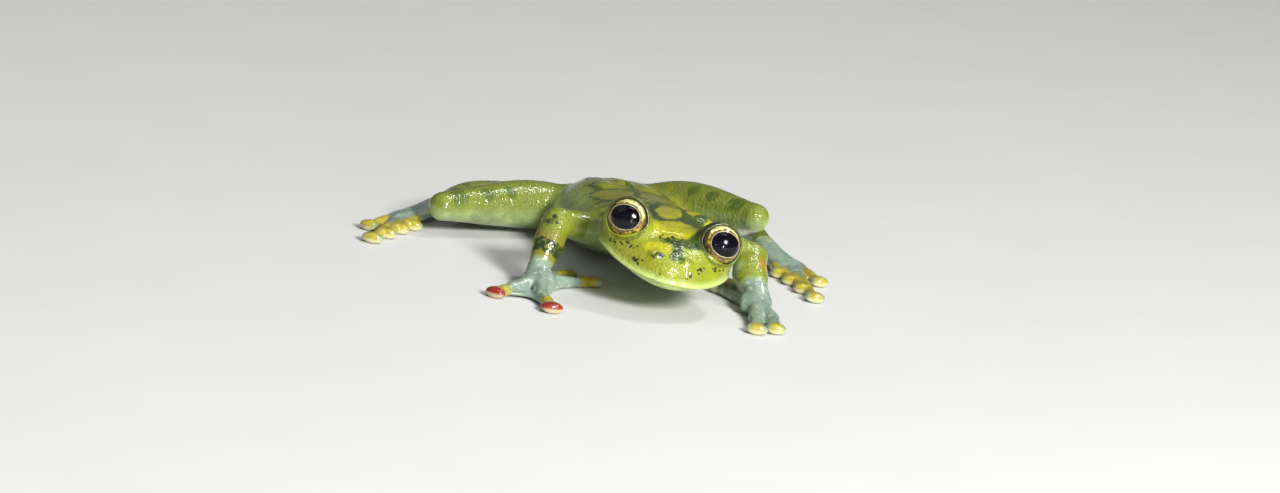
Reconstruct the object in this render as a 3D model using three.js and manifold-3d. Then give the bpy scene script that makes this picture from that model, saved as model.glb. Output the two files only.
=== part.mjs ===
// A life-size, still model of a reticulated glass frog, crouched on a flat floor.
// Millimetres, +Z up. The frog looks along -Y and its left side is +X; the floor is z = 0.
// The origin lies on the floor under the middle of the frog's bounding box.

import * as THREE from 'three';
import { mergeVertices } from 'three/addons/utils/BufferGeometryUtils.js';
import Module from 'manifold-3d';

const wasm = await Module();
wasm.setup();

// Driving dimensions

const GAP = 0.3; // air between two body parts that meet face to face
const EYE_RADIUS = 1.22;
const EYE_GAP = 0.2; // air round an eyeball in its socket
const LID_RADIUS = 1.55; // outside of the lids that ring an eye
const LID_OPENING = 0.5; // from the lid's middle to its rim, along the eye's axis
const EYE_SPREAD = 2.8; // from the head's middle to an eye's centre
const EYE_RISE = 1.15; // eye centres above the head's own middle line
const EYE_TURN = 13; // degrees that an eye looks outwards
const EYE_LIFT = 12; // degrees that an eye looks up
const HEAD_ROLL = 7.9; // degrees, right side up
const HEAD_TURN = 9.2; // degrees, snout to the frog's right
const HEAD_CENTRE = [-0.05, -8.5, 3.42]; // between the eyes, on the head's middle line
const NECK_Y = -5.0; // where head and torso part
const MIDDLE = [1.833, -0.013]; // puts the bounding box's middle on the origin

// Joints and tips of each limb, as the crouching frog holds them

const ARM = {
  right: {
    shoulder: [-2.9, -3.5, 3.0],
    elbow: [-5.95, -4.6, 3.5],
    forearm: [[-6.47, -5.5, 2.35], 0.92, 0.86],
    wrist: [-7.1, -6.6, 0.95],
    tips: [[-4.5, -4.2], [-3.2, -5.3], [-7.4, -12.7], [-10.4, -10.4]],
    bends: [[-5.9, -5.2], [-5.1, -6.3], [-7.5, -10.0], [-9.0, -8.9]],
  },
  left: {
    shoulder: [3.1, -3.7, 3.35],
    elbow: [6.5, -3.9, 2.45],
    forearm: [[6.05, -5.3, 1.75], 1.08, 0.95],
    wrist: [6.25, -6.9, 1.0],
    tips: [[5.75, -2.2], [4.6, -3.5], [4.85, -12.8], [6.15, -12.3]],
    bends: [[6.0, -4.6], [5.3, -5.6], [5.4, -10.3], [6.5, -10.0]],
  },
};

const LEG = {
  right: {
    hip: [-1.5, 7.9, 1.45],
    thighMiddle: [-5.6, 6.5, 1.75],
    knee: [-11.0, 3.9, 1.7],
    calf: [-8.4, 7.4, 1.55],
    heel: [-3.8, 12.5, 1.15],
    ankle: [-9.9, 8.7, 0.85],
    tips: [[-12.6, 3.9], [-13.6, 2.7], [-14.7, 1.2], [-15.9, -0.3], [-15.6, 2.8]],
    bends: [[-12.0, 6.2], [-12.5, 5.5], [-13.0, 5.0], [-13.5, 4.8], [-13.4, 5.6]],
  },
  left: {
    hip: [1.6, 8.2, 1.8],
    thighMiddle: [4.4, 4.5, 3.25],
    knee: [7.2, -0.4, 4.05],
    calf: [7.4, 4.2, 2.9],
    heel: [6.5, 11.9, 1.2],
    ankle: [9.8, 7.15, 1.1],
    tips: [[9.9, 1.5], [10.2, 0.0], [10.5, -1.8], [10.8, -3.7], [12.2, 0.4]],
    bends: [[10.0, 4.2], [10.3, 3.6], [10.8, 2.9], [11.2, 2.6], [11.7, 3.4]],
  },
};

// Half width across the body, top and bottom of the body's sections, from the throat back to
// the vent. The belly rests on the floor, so its sections reach a little below it and are cut.

const TORSO = [
  { y: -7.4, width: 2.5, top: 4.3, bottom: 2.3 },
  { y: -5.6, width: 3.05, top: 4.6, bottom: 1.85 },
  { y: -3.8, width: 3.5, top: 4.72, bottom: 1.5 },
  { y: -2.0, width: 3.8, top: 4.7, bottom: 1.1 },
  { y: 0.0, width: 4.05, top: 4.55, bottom: 0.6 },
  { y: 2.2, width: 4.25, top: 4.4, bottom: 0.12 },
  { y: 4.6, width: 4.15, top: 4.2, bottom: -0.12 },
  { y: 6.8, width: 3.6, top: 3.85, bottom: -0.12 },
  { y: 8.8, width: 2.7, top: 3.25, bottom: -0.02 },
  { y: 10.3, width: 1.7, top: 2.6, bottom: 0.35 },
  { y: 11.2, width: 0.8, top: 2.05, bottom: 0.8 },
];

// The same for the head, in its own tilted frame: forward of the eyes, and up from its middle
// line. The widest place of each section is the jaw, low on the side of the head.

const HEAD = [
  { ahead: -5.2, width: 2.5, top: 0.9, bottom: -1.37 },
  { ahead: -3.8, width: 3.15, top: 1.1, bottom: -1.52 },
  { ahead: -2.6, width: 3.65, top: 1.18, bottom: -1.47 },
  { ahead: -1.4, width: 3.88, top: 1.18, bottom: -1.4 },
  { ahead: -0.3, width: 3.85, top: 1.12, bottom: -1.38 },
  { ahead: 0.7, width: 3.6, top: 0.95, bottom: -1.46 },
  { ahead: 1.5, width: 3.17, top: 0.72, bottom: -1.58 },
  { ahead: 2.2, width: 2.58, top: 0.42, bottom: -1.7 },
  { ahead: 2.75, width: 1.9, top: 0.12, bottom: -1.7 },
  { ahead: 3.08, width: 1.22, top: -0.18, bottom: -1.62 },
  { ahead: 3.26, width: 0.64, top: -0.45, bottom: -1.5 },
];

// The widest place of a head section is the jaw line, which rises from the snout to the corners

const JAW_FRONT = -1.11;
const JAW_BACK = -0.59;

// Small vector helpers

const v3 = (point) => new THREE.Vector3(...point);
const degrees = THREE.MathUtils.degToRad;

// Solids: closed three.js geometries become manifold solids, which are joined and cut

function solid(geometry) {
  const bare = geometry.clone();
  bare.deleteAttribute('normal');
  bare.deleteAttribute('uv');
  const welded = mergeVertices(bare, 1e-4);
  const vertProperties = new Float32Array(welded.attributes.position.array);
  const triVerts = new Uint32Array(welded.index.array);
  return new wasm.Manifold(new wasm.Mesh({ numProp: 3, vertProperties, triVerts }));
}

function joined(solids) {
  return solids.reduce((whole, piece) => whole.add(piece));
}

function largest(body) {
  return body.decompose().reduce((a, b) => (a.volume() >= b.volume() ? a : b));
}

// A box from low to high corner, for cutting flats

function block(low, high) {
  const size = v3(high).sub(v3(low));
  const middle = v3(high).add(v3(low)).multiplyScalar(0.5);
  return solid(new THREE.BoxGeometry(...size.toArray()).translate(...middle.toArray()));
}

const FAR = 40;
const belowFloor = block([-FAR, -FAR, -FAR], [FAR, FAR, 0]);

function ellipsoid(centre, radii, rounds = 18) {
  const ball = new THREE.SphereGeometry(1, rounds, Math.round(rounds * 0.6));
  ball.scale(...radii);
  return solid(ball.translate(...centre));
}

// A closed skin over rings of points, with a pole at each end

function skin(rings, firstPole, lastPole) {
  const sides = rings[0].length;
  const points = [...rings.flat(), firstPole, lastPole];
  const first = points.length - 2;
  const last = points.length - 1;
  const index = [];
  for (let r = 0; r + 1 < rings.length; r += 1) {
    for (let s = 0; s < sides; s += 1) {
      const a = r * sides + s;
      const b = r * sides + ((s + 1) % sides);
      index.push(a, a + sides, b, b, a + sides, b + sides);
    }
  }
  const top = (rings.length - 1) * sides;
  for (let s = 0; s < sides; s += 1) {
    const next = (s + 1) % sides;
    index.push(first, s, next);
    index.push(last, top + next, top + s);
  }
  const geometry = new THREE.BufferGeometry();
  const flat = points.flatMap((point) => point.toArray());
  geometry.setAttribute('position', new THREE.Float32BufferAttribute(flat, 3));
  geometry.setIndex(index);
  return geometry;
}

// A round limb along a smooth curve. Each station is [point, half width, half height].
// Its ends are domes, and grow makes it fatter all round, to cut its neighbours with.

function limb(stations, { sides = 14, steps = 4, grow = 0, up = [0, 0, 1], square = 2 } = {}) {
  const curve = new THREE.CatmullRomCurve3(stations.map((station) => v3(station[0])));
  const widths = new THREE.CatmullRomCurve3(stations.map((s) => new THREE.Vector3(s[1], s[2], 0)));
  const count = (stations.length - 1) * steps;
  const upward = v3(up);
  const ring = (t, scale, shift) => {
    const along = curve.getTangent(t);
    const across = new THREE.Vector3().crossVectors(along, upward).normalize();
    const over = new THREE.Vector3().crossVectors(across, along).normalize();
    const size = widths.getPoint(t);
    const centre = curve.getPoint(t).addScaledVector(along, shift);
    const points = [];
    for (let s = 0; s < sides; s += 1) {
      const angle = (2 * Math.PI * s) / sides;
      const bulge = (value) => Math.sign(value) * Math.abs(value) ** (2 / square);
      const x = bulge(Math.cos(angle)) * (size.x + grow) * scale;
      const y = bulge(Math.sin(angle)) * (size.y + grow) * scale;
      points.push(centre.clone().addScaledVector(across, x).addScaledVector(over, y));
    }
    return points;
  };
  const dome = [30, 60].map(degrees);
  const reach = (t) => Math.min(widths.getPoint(t).x, widths.getPoint(t).y) + grow;
  const rings = [];
  [...dome].reverse().forEach((a) => rings.push(ring(0, Math.cos(a), -reach(0) * Math.sin(a))));
  for (let k = 0; k <= count; k += 1) rings.push(ring(k / count, 1, 0));
  dome.forEach((a) => rings.push(ring(1, Math.cos(a), reach(1) * Math.sin(a))));
  const firstPole = curve.getPoint(0).addScaledVector(curve.getTangent(0), -reach(0));
  const lastPole = curve.getPoint(1).addScaledVector(curve.getTangent(1), reach(1));
  return solid(skin(rings, firstPole, lastPole));
}

// A body of upright sections. Above its widest line a section narrows like a roof with a round
// ridge, and below it like a boat. place puts a local point into the frog's frame.

function sectionRing(section, widest, place, grow, sides) {
  const points = [];
  for (let s = 0; s < sides; s += 1) {
    const angle = (2 * Math.PI * s) / sides;
    const up = Math.sin(angle);
    const across = Math.sign(Math.cos(angle)) * Math.abs(Math.cos(angle)) ** 0.92;
    const height = up > 0 ? section.top - widest : widest - section.bottom;
    const x = across * (section.width + grow);
    points.push(place(x, section.at, widest + up * (height + grow)));
  }
  return points;
}

function fineSections(sections, steps) {
  const key = (s) => new THREE.Vector3(s.width, s.top, s.bottom);
  const shape = new THREE.CatmullRomCurve3(sections.map(key));
  const place = new THREE.CatmullRomCurve3(sections.map((s) => new THREE.Vector3(s.at, 0, 0)));
  const count = (sections.length - 1) * steps;
  const fine = [];
  for (let k = 0; k <= count; k += 1) {
    const size = shape.getPoint(k / count);
    fine.push({ at: place.getPoint(k / count).x, width: size.x, top: size.y, bottom: size.z });
  }
  return fine;
}

function trunk(sections, widest, place, { grow = 0, sides = 32, steps = 2, bluff = 0.3 } = {}) {
  const fine = fineSections(sections, steps);
  const rings = fine.map((s) => sectionRing(s, widest(s), place, grow, sides));
  const first = fine[0];
  const last = fine[fine.length - 1];
  const pole = (s, shift) => place(0, s.at + shift, (s.top + s.bottom) / 2);
  const onward = Math.sign(last.at - first.at);
  const firstPole = pole(first, -onward * (bluff + grow));
  return solid(skin(rings, firstPole, pole(last, onward * (bluff + grow))));
}

// The head's own frame: ahead is -Y, rolled about that line and turned to one side

const roll = degrees(HEAD_ROLL);
const headTurn = degrees(HEAD_TURN);

function inHead(x, ahead, height) {
  const side = x * Math.cos(roll) + height * Math.sin(roll);
  const rise = -x * Math.sin(roll) + height * Math.cos(roll);
  const across = side * Math.cos(headTurn) - ahead * Math.sin(headTurn);
  const along = -side * Math.sin(headTurn) - ahead * Math.cos(headTurn);
  return v3([HEAD_CENTRE[0] + across, HEAD_CENTRE[1] + along, HEAD_CENTRE[2] + rise]);
}

function jawLine(ahead) {
  const back = THREE.MathUtils.smoothstep(-ahead, -3.5, 0);
  return JAW_FRONT + (JAW_BACK - JAW_FRONT) * back;
}

const headSections = HEAD.map((s) => ({ at: s.ahead, ...s }));
const torsoSections = TORSO.map((s) => ({ at: s.y, ...s }));
const inTorso = (x, y, height) => v3([x, y, height]);
const torsoWidest = (s) => s.bottom + 0.45 * (s.top - s.bottom);

// The head loft runs backwards along Y, so its sides are mirrored to keep its skin facing out

function headLoft(grow = 0) {
  const mirrored = (x, ahead, height) => inHead(-x, ahead, height);
  return trunk(headSections, (s) => jawLine(s.at), mirrored, { grow, sides: 32, bluff: 0.12 });
}

function torsoLoft(grow = 0) {
  return trunk(torsoSections, torsoWidest, inTorso, { grow, sides: 28 });
}

// Eyes

const SIDES = { right: -1, left: 1 };

function eyeCentre(side) {
  return inHead(SIDES[side] * EYE_SPREAD, 0, EYE_RISE);
}

function eyeAxis(side) {
  const turn = SIDES[side] * degrees(EYE_TURN) - headTurn;
  const lift = degrees(EYE_LIFT);
  const level = Math.cos(lift);
  return v3([Math.sin(turn) * level, -Math.cos(turn) * level, Math.sin(lift)]);
}

function eyeBall(side) {
  const centre = eyeCentre(side);
  const cornea = centre.clone().addScaledVector(eyeAxis(side), 0.2);
  const ball = ellipsoid(centre.toArray(), Array(3).fill(EYE_RADIUS), 20);
  return ball.add(ellipsoid(cornea.toArray(), Array(3).fill(EYE_RADIUS - 0.12), 16));
}

// The mound that carries an eye, and the lid that rings it

function eyeMound(side) {
  const axis = eyeAxis(side);
  const lid = eyeCentre(side).addScaledVector(axis, -0.2);
  const ring = ellipsoid(lid.toArray(), Array(3).fill(LID_RADIUS), 20);
  const facing = new THREE.Quaternion().setFromUnitVectors(v3([0, 0, 1]), axis);
  const face = new THREE.BoxGeometry(6, 6, 4).translate(0, 0, 2 + LID_OPENING).applyQuaternion(facing);
  const open = solid(face.translate(...lid.toArray()));
  const root = inHead(SIDES[side] * (EYE_SPREAD - 0.45), -0.75, EYE_RISE - 0.75);
  return ring.subtract(open).add(ellipsoid(root.toArray(), [1.65, 1.8, 1.3], 16));
}

function eyeSocket(side) {
  const radius = EYE_RADIUS + EYE_GAP;
  const bore = [eyeCentre(side), eyeCentre(side).addScaledVector(eyeAxis(side), 0.2)];
  return joined(bore.map((c) => ellipsoid(c.toArray(), Array(3).fill(radius), 18)));
}

// The mouth runs along the jaw line from corner to corner, round the snout

const MOUTH_CORNER = -1.3; // how far ahead of the eyes the corner lies
const LIP_RADIUS = 0.2;
const MOUTH_RADIUS = 0.13;

function mouthCurve(rise, inset) {
  const fine = fineSections(headSections, 2).filter((s) => s.at >= MOUTH_CORNER);
  const tip = fine[fine.length - 1].at + 0.1;
  const place = (sign, s) => inHead(sign * (s.width - inset), s.at, jawLine(s.at) + rise);
  const side = (sign) => fine.map((s) => place(sign, s));
  return [...side(-1), inHead(0, tip - inset, JAW_FRONT + rise), ...side(1).reverse()];
}

function mouthTube(rise, inset, radius) {
  const path = mouthCurve(rise, inset).map((point) => [point.toArray(), radius, radius]);
  return limb(path, { sides: 6, steps: 1 });
}

const NOSTRIL_SPREAD = 0.95; // from the middle of the snout
const NOSTRIL_AHEAD = 2.45;

function nostril(sign, radius, rise) {
  const near = HEAD.find((s) => s.ahead >= NOSTRIL_AHEAD);
  const arch = Math.sqrt(1 - (NOSTRIL_SPREAD / near.width) ** 2);
  const jaw = jawLine(near.ahead);
  const height = jaw + (near.top - jaw) * arch + rise;
  const centre = inHead(sign * NOSTRIL_SPREAD, NOSTRIL_AHEAD, height);
  return ellipsoid(centre.toArray(), Array(3).fill(radius), 10);
}

function wholeHead() {
  const mounds = Object.keys(SIDES).map(eyeMound);
  const lips = mouthTube(0.1, 0.12, LIP_RADIUS);
  const rims = [-1, 1].map((sign) => nostril(sign, 0.34, 0));
  const mouth = mouthTube(-0.2, 0.02, MOUTH_RADIUS);
  const holes = [-1, 1].map((sign) => nostril(sign, 0.13, 0.34));
  const cuts = [mouth, ...holes, ...Object.keys(SIDES).map(eyeSocket)];
  return joined([headLoft(), ...mounds, lips, ...rims]).subtract(joined(cuts));
}

const aheadOfNeck = block([-FAR, -FAR, -FAR], [FAR, NECK_Y + GAP / 2, FAR]);
const behindNeck = block([-FAR, NECK_Y - GAP / 2, -FAR], [FAR, FAR, FAR]);
const head = joined([wholeHead(), torsoLoft()]).subtract(behindNeck);
const torso = joined([torsoLoft(), headLoft()]).subtract(aheadOfNeck);
const body = joined([torsoLoft(GAP), headLoft(GAP)]);

// Arms

function upperArm(side, grow = 0) {
  const { shoulder, elbow } = ARM[side];
  return limb([[shoulder, 1.2, 1.05], [elbow, 0.8, 0.78]], { grow, sides: 12, steps: 4 });
}

function foreArm(side, grow = 0) {
  const { elbow, forearm, wrist } = ARM[side];
  const stations = [[elbow, 0.8, 0.8], forearm, [wrist, 0.66, 0.6]];
  return limb(stations, { grow, sides: 12, steps: 3, up: [0, -1, 0] });
}

// A digit lies on the floor and ends in a wide disc, cut nearly square across its tip

const DIGIT_HEIGHT = 0.27; // of its middle line above the floor

function digit(root, bend, tip, width, disc) {
  const flat = (point) => v3([point[0], point[1], DIGIT_HEIGHT]);
  const end = flat(tip);
  const before = flat(bend);
  const back = (distance) => end.clone().lerp(before, distance / end.distanceTo(before)).toArray();
  const stations = [
    [root, width * 1.3, 0.42],
    [before.toArray(), width * 1.1, 0.36],
    [back(disc * 2.1), width, 0.32],
    [back(disc * 1.35), disc * 0.7, 0.32],
    [back(disc * 0.7), disc, 0.34],
    [end.toArray(), disc * 0.82, 0.26],
  ];
  return limb(stations, { sides: 8, steps: 1, square: 2.5 });
}

// A flat slab on the floor, fanned out from its first corner

function slab(corners, thickness) {
  const [root, one, two] = corners;
  const turn = one.clone().sub(root).cross(two.clone().sub(root)).z;
  const around = turn > 0 ? corners : [root, ...corners.slice(1).reverse()];
  const raised = around.map((corner) => corner.clone().setZ(corner.z + thickness));
  const count = around.length;
  const index = [];
  for (let k = 1; k + 1 < count; k += 1) index.push(0, k + 1, k, count, count + k, count + k + 1);
  for (let k = 0; k < count; k += 1) {
    const next = (k + 1) % count;
    index.push(k, next, count + k, next, count + next, count + k);
  }
  const geometry = new THREE.BufferGeometry();
  const flat = [...around, ...raised].flatMap((corner) => corner.toArray());
  geometry.setAttribute('position', new THREE.Float32BufferAttribute(flat, 3));
  geometry.setIndex(index);
  return solid(geometry);
}

// Webbing is a thin slab between two digits, with a hollow edge

const WEB = 0.52; // thickness of the webbing

function web(root, one, other, reach) {
  const a = v3([...one, 0]);
  const b = v3([...other, 0]);
  const start = v3([root[0], root[1], 0]);
  const edge = [];
  for (let k = 0; k <= 6; k += 1) {
    const t = k / 6;
    const dip = reach * (1 - 0.26 * Math.sin(Math.PI * t));
    const rim = a.clone().lerp(b, t);
    edge.push(start.clone().lerp(rim, dip));
  }
  return slab([start, ...edge], WEB);
}

function fan(root, tips, bends, width, disc, webs) {
  const digits = tips.map((tip, k) => digit(root, bends[k], tip, width[k], disc[k]));
  const sheets = webs.map(([k, reach]) => web(root, tips[k], tips[k + 1], reach));
  return joined([...digits, ...sheets]);
}

function hand(side) {
  const { wrist, tips, bends } = ARM[side];
  const knuckles = [0, 1].map((k) => (bends[1][k] + bends[2][k] + bends[3][k]) / 3);
  const palm = v3(wrist).lerp(v3([...knuckles, 0.4]), 0.45).toArray();
  const stations = [[wrist, 0.68, 0.6], [palm, 1.0, 0.52], [[...knuckles, 0.4], 0.8, 0.38]];
  const carpus = limb(stations, { sides: 12, steps: 3 });
  const webs = [[0, 0.35], [1, 0.55], [2, 0.88]];
  const digits = fan(palm, tips, bends, [0.32, 0.32, 0.4, 0.38], [0.54, 0.58, 0.68, 0.64], webs);
  return carpus.add(digits);
}

// Legs

function thigh(side, grow = 0) {
  const { hip, thighMiddle, knee } = LEG[side];
  const stations = [[hip, 1.65, 1.32], [thighMiddle, 1.55, 1.48], [knee, 0.85, 0.85]];
  return limb(stations, { grow, sides: 14, steps: 4 });
}

function shank(side, grow = 0) {
  const { knee, calf, heel } = LEG[side];
  return limb([[knee, 0.8, 0.8], [calf, 1.05, 1.1], [heel, 0.62, 0.62]], { grow, sides: 12 });
}

function tarsus(side, grow = 0) {
  const { heel, ankle } = LEG[side];
  return limb([[heel, 0.66, 0.66], [ankle, 0.6, 0.55]], { grow, sides: 10, steps: 4 });
}

function foot(side) {
  const { ankle, tips, bends } = LEG[side];
  const ball = [0, 1].map((k) => (bends[1][k] + bends[2][k] + bends[3][k]) / 3);
  const sole = v3(ankle).lerp(v3([...ball, 0.4]), 0.5).toArray();
  const stations = [[ankle, 0.6, 0.55], [sole, 0.8, 0.5], [[...ball, 0.36], 0.85, 0.36]];
  const metatarsus = limb(stations, { sides: 12, steps: 3 });
  const webs = [[0, 0.78], [1, 0.8], [2, 0.8], [3, 0.82]];
  const width = [0.3, 0.3, 0.31, 0.33, 0.31];
  const disc = [0.58, 0.52, 0.55, 0.66, 0.6];
  return metatarsus.add(fan(sole, tips, bends, width, disc, webs));
}

// Each child is cut back by its grown neighbours, and everything stops at the floor

function armNodes(side) {
  return {
    [`${side}_upper_arm`]: upperArm(side).subtract(body),
    [`${side}_forearm`]: foreArm(side).subtract(joined([upperArm(side, GAP), body])),
    [`${side}_hand`]: hand(side).subtract(foreArm(side, GAP)),
  };
}

function legNodes(side) {
  const shankCut = joined([thigh(side, GAP), body]);
  return {
    [`${side}_thigh`]: thigh(side).subtract(body),
    [`${side}_shank`]: shank(side).subtract(shankCut),
    [`${side}_tarsus`]: tarsus(side).subtract(joined([shank(side, GAP), thigh(side, GAP)])),
    [`${side}_foot`]: foot(side).subtract(joined([tarsus(side, GAP), thigh(side, GAP)])),
  };
}

const solids = {
  head,
  torso,
  right_eye: eyeBall('right'),
  left_eye: eyeBall('left'),
  ...armNodes('right'),
  ...armNodes('left'),
  ...legNodes('right'),
  ...legNodes('left'),
};

// Colours of the wet skin and the dark eyes

const FINISHES = {
  head: { color: 0xa9a82a, roughness: 0.35 },
  torso: { color: 0x8f9a34, roughness: 0.35 },
  eye: { color: 0x8a6f1c, roughness: 0.08 },
  upper_arm: { color: 0x9aa03a, roughness: 0.35 },
  forearm: { color: 0xa0a04c, roughness: 0.35 },
  hand: { color: 0x8f9c8c, roughness: 0.3 },
  thigh: { color: 0x9ba560, roughness: 0.35 },
  shank: { color: 0x93a05a, roughness: 0.35 },
  tarsus: { color: 0x8e9a80, roughness: 0.35 },
  foot: { color: 0x9c9850, roughness: 0.3 },
};

function mesh(name, body3) {
  const { vertProperties, triVerts } = largest(body3.subtract(belowFloor)).getMesh();
  const geometry = new THREE.BufferGeometry();
  geometry.setAttribute('position', new THREE.Float32BufferAttribute(vertProperties, 3));
  geometry.setIndex([...triVerts]);
  const part = name.replace(/^(right|left)_/, '');
  const material = new THREE.MeshStandardMaterial({ ...FINISHES[part], metalness: 0 });
  const piece = new THREE.Mesh(geometry, material);
  piece.name = name;
  return piece;
}

const frog = new THREE.Group();
frog.name = 'glass_frog';
Object.entries(solids).forEach(([name, piece]) => frog.add(mesh(name, piece)));
frog.position.set(MIDDLE[0], MIDDLE[1], 0);

export default frog;
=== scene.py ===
# %% [markdown]
# # A glass frog in Blender
# The solids of the frog are packed already, in millimetres of the same frame. This lesson gives
# them their looks: one continuous skin that replaces the solids of flesh, two eyes behind clear
# corneas, wet skin with its markings, and a pale studio.
# Everything is placed by named sizes, so nothing is fitted by eye to the solids afterwards.

# %% Load the frame
import math

import bpy
import numpy as np
import openvdb
from mathutils import Matrix, Vector


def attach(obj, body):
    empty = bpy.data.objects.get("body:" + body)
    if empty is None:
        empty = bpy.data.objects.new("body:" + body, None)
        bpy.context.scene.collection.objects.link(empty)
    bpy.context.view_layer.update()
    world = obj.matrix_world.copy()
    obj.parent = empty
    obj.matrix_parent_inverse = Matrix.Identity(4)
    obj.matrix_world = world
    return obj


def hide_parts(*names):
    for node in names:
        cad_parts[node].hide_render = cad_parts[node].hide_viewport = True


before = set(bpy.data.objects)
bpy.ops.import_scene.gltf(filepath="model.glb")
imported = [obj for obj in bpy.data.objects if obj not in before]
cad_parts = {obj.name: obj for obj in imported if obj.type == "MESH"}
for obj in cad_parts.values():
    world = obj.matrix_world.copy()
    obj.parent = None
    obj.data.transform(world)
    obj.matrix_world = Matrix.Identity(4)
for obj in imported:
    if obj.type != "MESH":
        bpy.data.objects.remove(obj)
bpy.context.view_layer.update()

# %% [markdown]
# ## Units and the frog's own frame
# The skin is worked out in millimetres, in a frame whose middle line is the frog's own, and moved
# to the shared frame at the end. The frog looks along -Y and its left side is +X.

# %% Units and the frog's frame
MM = 0.001
MIDDLE = np.array([1.833, -0.013, 0.0])  # the frog's own frame in the shared one


def shared(points):
    """Puts points in the frog's own millimetres into the shared frame, in metres."""
    return (np.asarray(points, float) + MIDDLE) * MM


# %% [markdown]
# ## The camera
# A close-up lens looks at the frog's face from a little above and from its right. In the
# photograph the frog leans to one side. Tilting the frog here would lift its feet, so the floor
# stays level and the camera rolls instead.

# %% The camera
CAMERA_TURN = -15.0  # degrees round the frog
CAMERA_RISE = 13.0  # degrees above the floor
CAMERA_ROLL = 9.5  # degrees
CAMERA_AWAY = 300.0  # mm from what it looks at
CAMERA_TARGET = np.array([0.57, 0.18, 1.40])  # mm, in the frog's own frame
LENS = 140.06  # mm of focal length


def facing(turn, rise):
    """The direction at a turn round the frog, from its front to its left, and a rise above it."""
    level = math.cos(rise)
    return np.array([math.sin(turn) * level, -math.cos(turn) * level, math.sin(rise)])


def camera_axes():
    turn, rise, roll = np.radians([CAMERA_TURN, CAMERA_RISE, CAMERA_ROLL])
    back = facing(turn, rise)
    level = np.array([math.cos(turn), math.sin(turn), 0.0])
    upright = np.cross(back, level)
    right = math.cos(roll) * level + math.sin(roll) * upright
    up = -math.sin(roll) * level + math.cos(roll) * upright
    return right, up, back


def make_camera():
    right, up, back = camera_axes()
    data = bpy.data.cameras.new("photo_view")
    data.lens = LENS
    data.clip_start = 0.01
    data.clip_end = 10.0
    camera = bpy.data.objects.new("photo_view", data)
    bpy.context.scene.collection.objects.link(camera)
    turned = Matrix((right, up, back)).transposed().to_4x4()
    camera.matrix_world = Matrix.Translation(shared(CAMERA_TARGET + CAMERA_AWAY * back)) @ turned
    bpy.context.scene.camera = camera


make_camera()
print("camera", CAMERA_AWAY, "mm away, lens", LENS, "mm")

# %% [markdown]
# ## Clay: a field of distances
# A frog has no corners: legs flow into the body and webs into the toes. One way to make that is
# to sculpt a box-modelled mesh by hand. Here the body is clay in a fine grid instead: every cell
# holds its distance to the skin, negative inside. Pieces are added with a soft minimum, which
# fillets them into one another, and pressed in with a soft maximum. At the end the surface where
# the distance is zero becomes the mesh.

# %% Soft joins
CELL = 0.06  # mm
FAR_AWAY = 5.0  # mm, where nothing is near
SPARE = 0.8  # mm round a piece in which it still blends with others


def soft_min(a, b, blend):
    """The smaller of two distances, with a fillet where they are alike."""
    mix = np.clip(0.5 + 0.5 * (b - a) / blend, 0, 1)
    return b + (a - b) * mix - blend * mix * (1 - mix)


def soft_max(a, b, blend):
    return -soft_min(-a, -b, blend)


def smooth_step(value, low, high):
    t = np.clip((value - low) / (high - low), 0, 1)
    return t * t * (3 - 2 * t)


# %% The clay block
class Clay:
    """A block of cells that hold the distance to the skin, in millimetres."""

    def __init__(self, low, high, cell):
        self.low = np.array(low, float)
        self.cell = cell
        shape = np.ceil((np.array(high) - self.low) / cell).astype(int) + 1
        self.depth = np.full(shape, FAR_AWAY, np.float32)

    def window(self, low, high):
        """The part of the block between two corners, as slices and as coordinates."""
        first = np.maximum(np.floor((np.asarray(low) - self.low) / self.cell).astype(int), 0)
        last = np.ceil((np.asarray(high) - self.low) / self.cell).astype(int) + 1
        last = np.minimum(last, self.depth.shape)
        cut = tuple(slice(a, b) for a, b in zip(first, last))
        return cut, self.places(cut)

    def places(self, cut):
        """Coordinates of a window's cells along each axis, shaped to work together."""
        lines = [self.low[k] + self.cell * np.arange(s.start, s.stop) for k, s in enumerate(cut)]
        return np.ix_(*[line.astype(np.float32) for line in lines])

    def add(self, cut, piece, blend):
        self.depth[cut] = soft_min(self.depth[cut], piece, blend)

    def press(self, cut, piece, blend):
        self.depth[cut] = soft_max(self.depth[cut], -piece, blend)


# %% [markdown]
# ## Limbs as clay
# Arms, legs and digits are round in section and swell where muscles lie. A curve with a bevel
# would make such a tube, but couldn't be blended into the body. So a limb is a chain of short
# tapered pieces along a smooth curve, each with an oval section.

# %% Curves and limbs
def smooth_curve(values, count):
    """Samples a smooth curve through rows of values, with the same bends as the solids' curves."""
    rows = np.asarray(values, float)
    ends = np.vstack([2 * rows[0] - rows[1], rows, 2 * rows[-1] - rows[-2]])
    t = np.linspace(0, len(rows) - 1, count)
    k = np.minimum(t.astype(int), len(rows) - 2)
    f = (t - k)[:, None]
    a, b, c, d = (ends[k + n] for n in range(4))
    bend = (2 * a - 5 * b + 4 * c - d) * f**2 + (3 * b - a - 3 * c + d) * f**3
    return 0.5 * (2 * b + (c - a) * f + bend)


def limb_path(stations, spacing=0.3):
    """Points and half sizes along a limb. A station is (point, half width, half height)."""
    rows = [[*point, width, height] for point, width, height in stations]
    length = sum(math.dist(a[:3], b[:3]) for a, b in zip(rows, rows[1:]))
    path = smooth_curve(rows, max(4, int(length / spacing)))
    return path[:, :3], np.maximum(path[:, 3:], 0.05)


def oval_distance(u, v, s, width, height, cap):
    """Distance to an ellipsoid of three half sizes, exact enough near its surface."""
    near = np.sqrt((u / width) ** 2 + (v / height) ** 2 + (s / cap) ** 2)
    slope = np.sqrt((u / width**2) ** 2 + (v / height**2) ** 2 + (s / cap**2) ** 2)
    return near * (near - 1) / np.maximum(slope, 1e-5)


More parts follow.
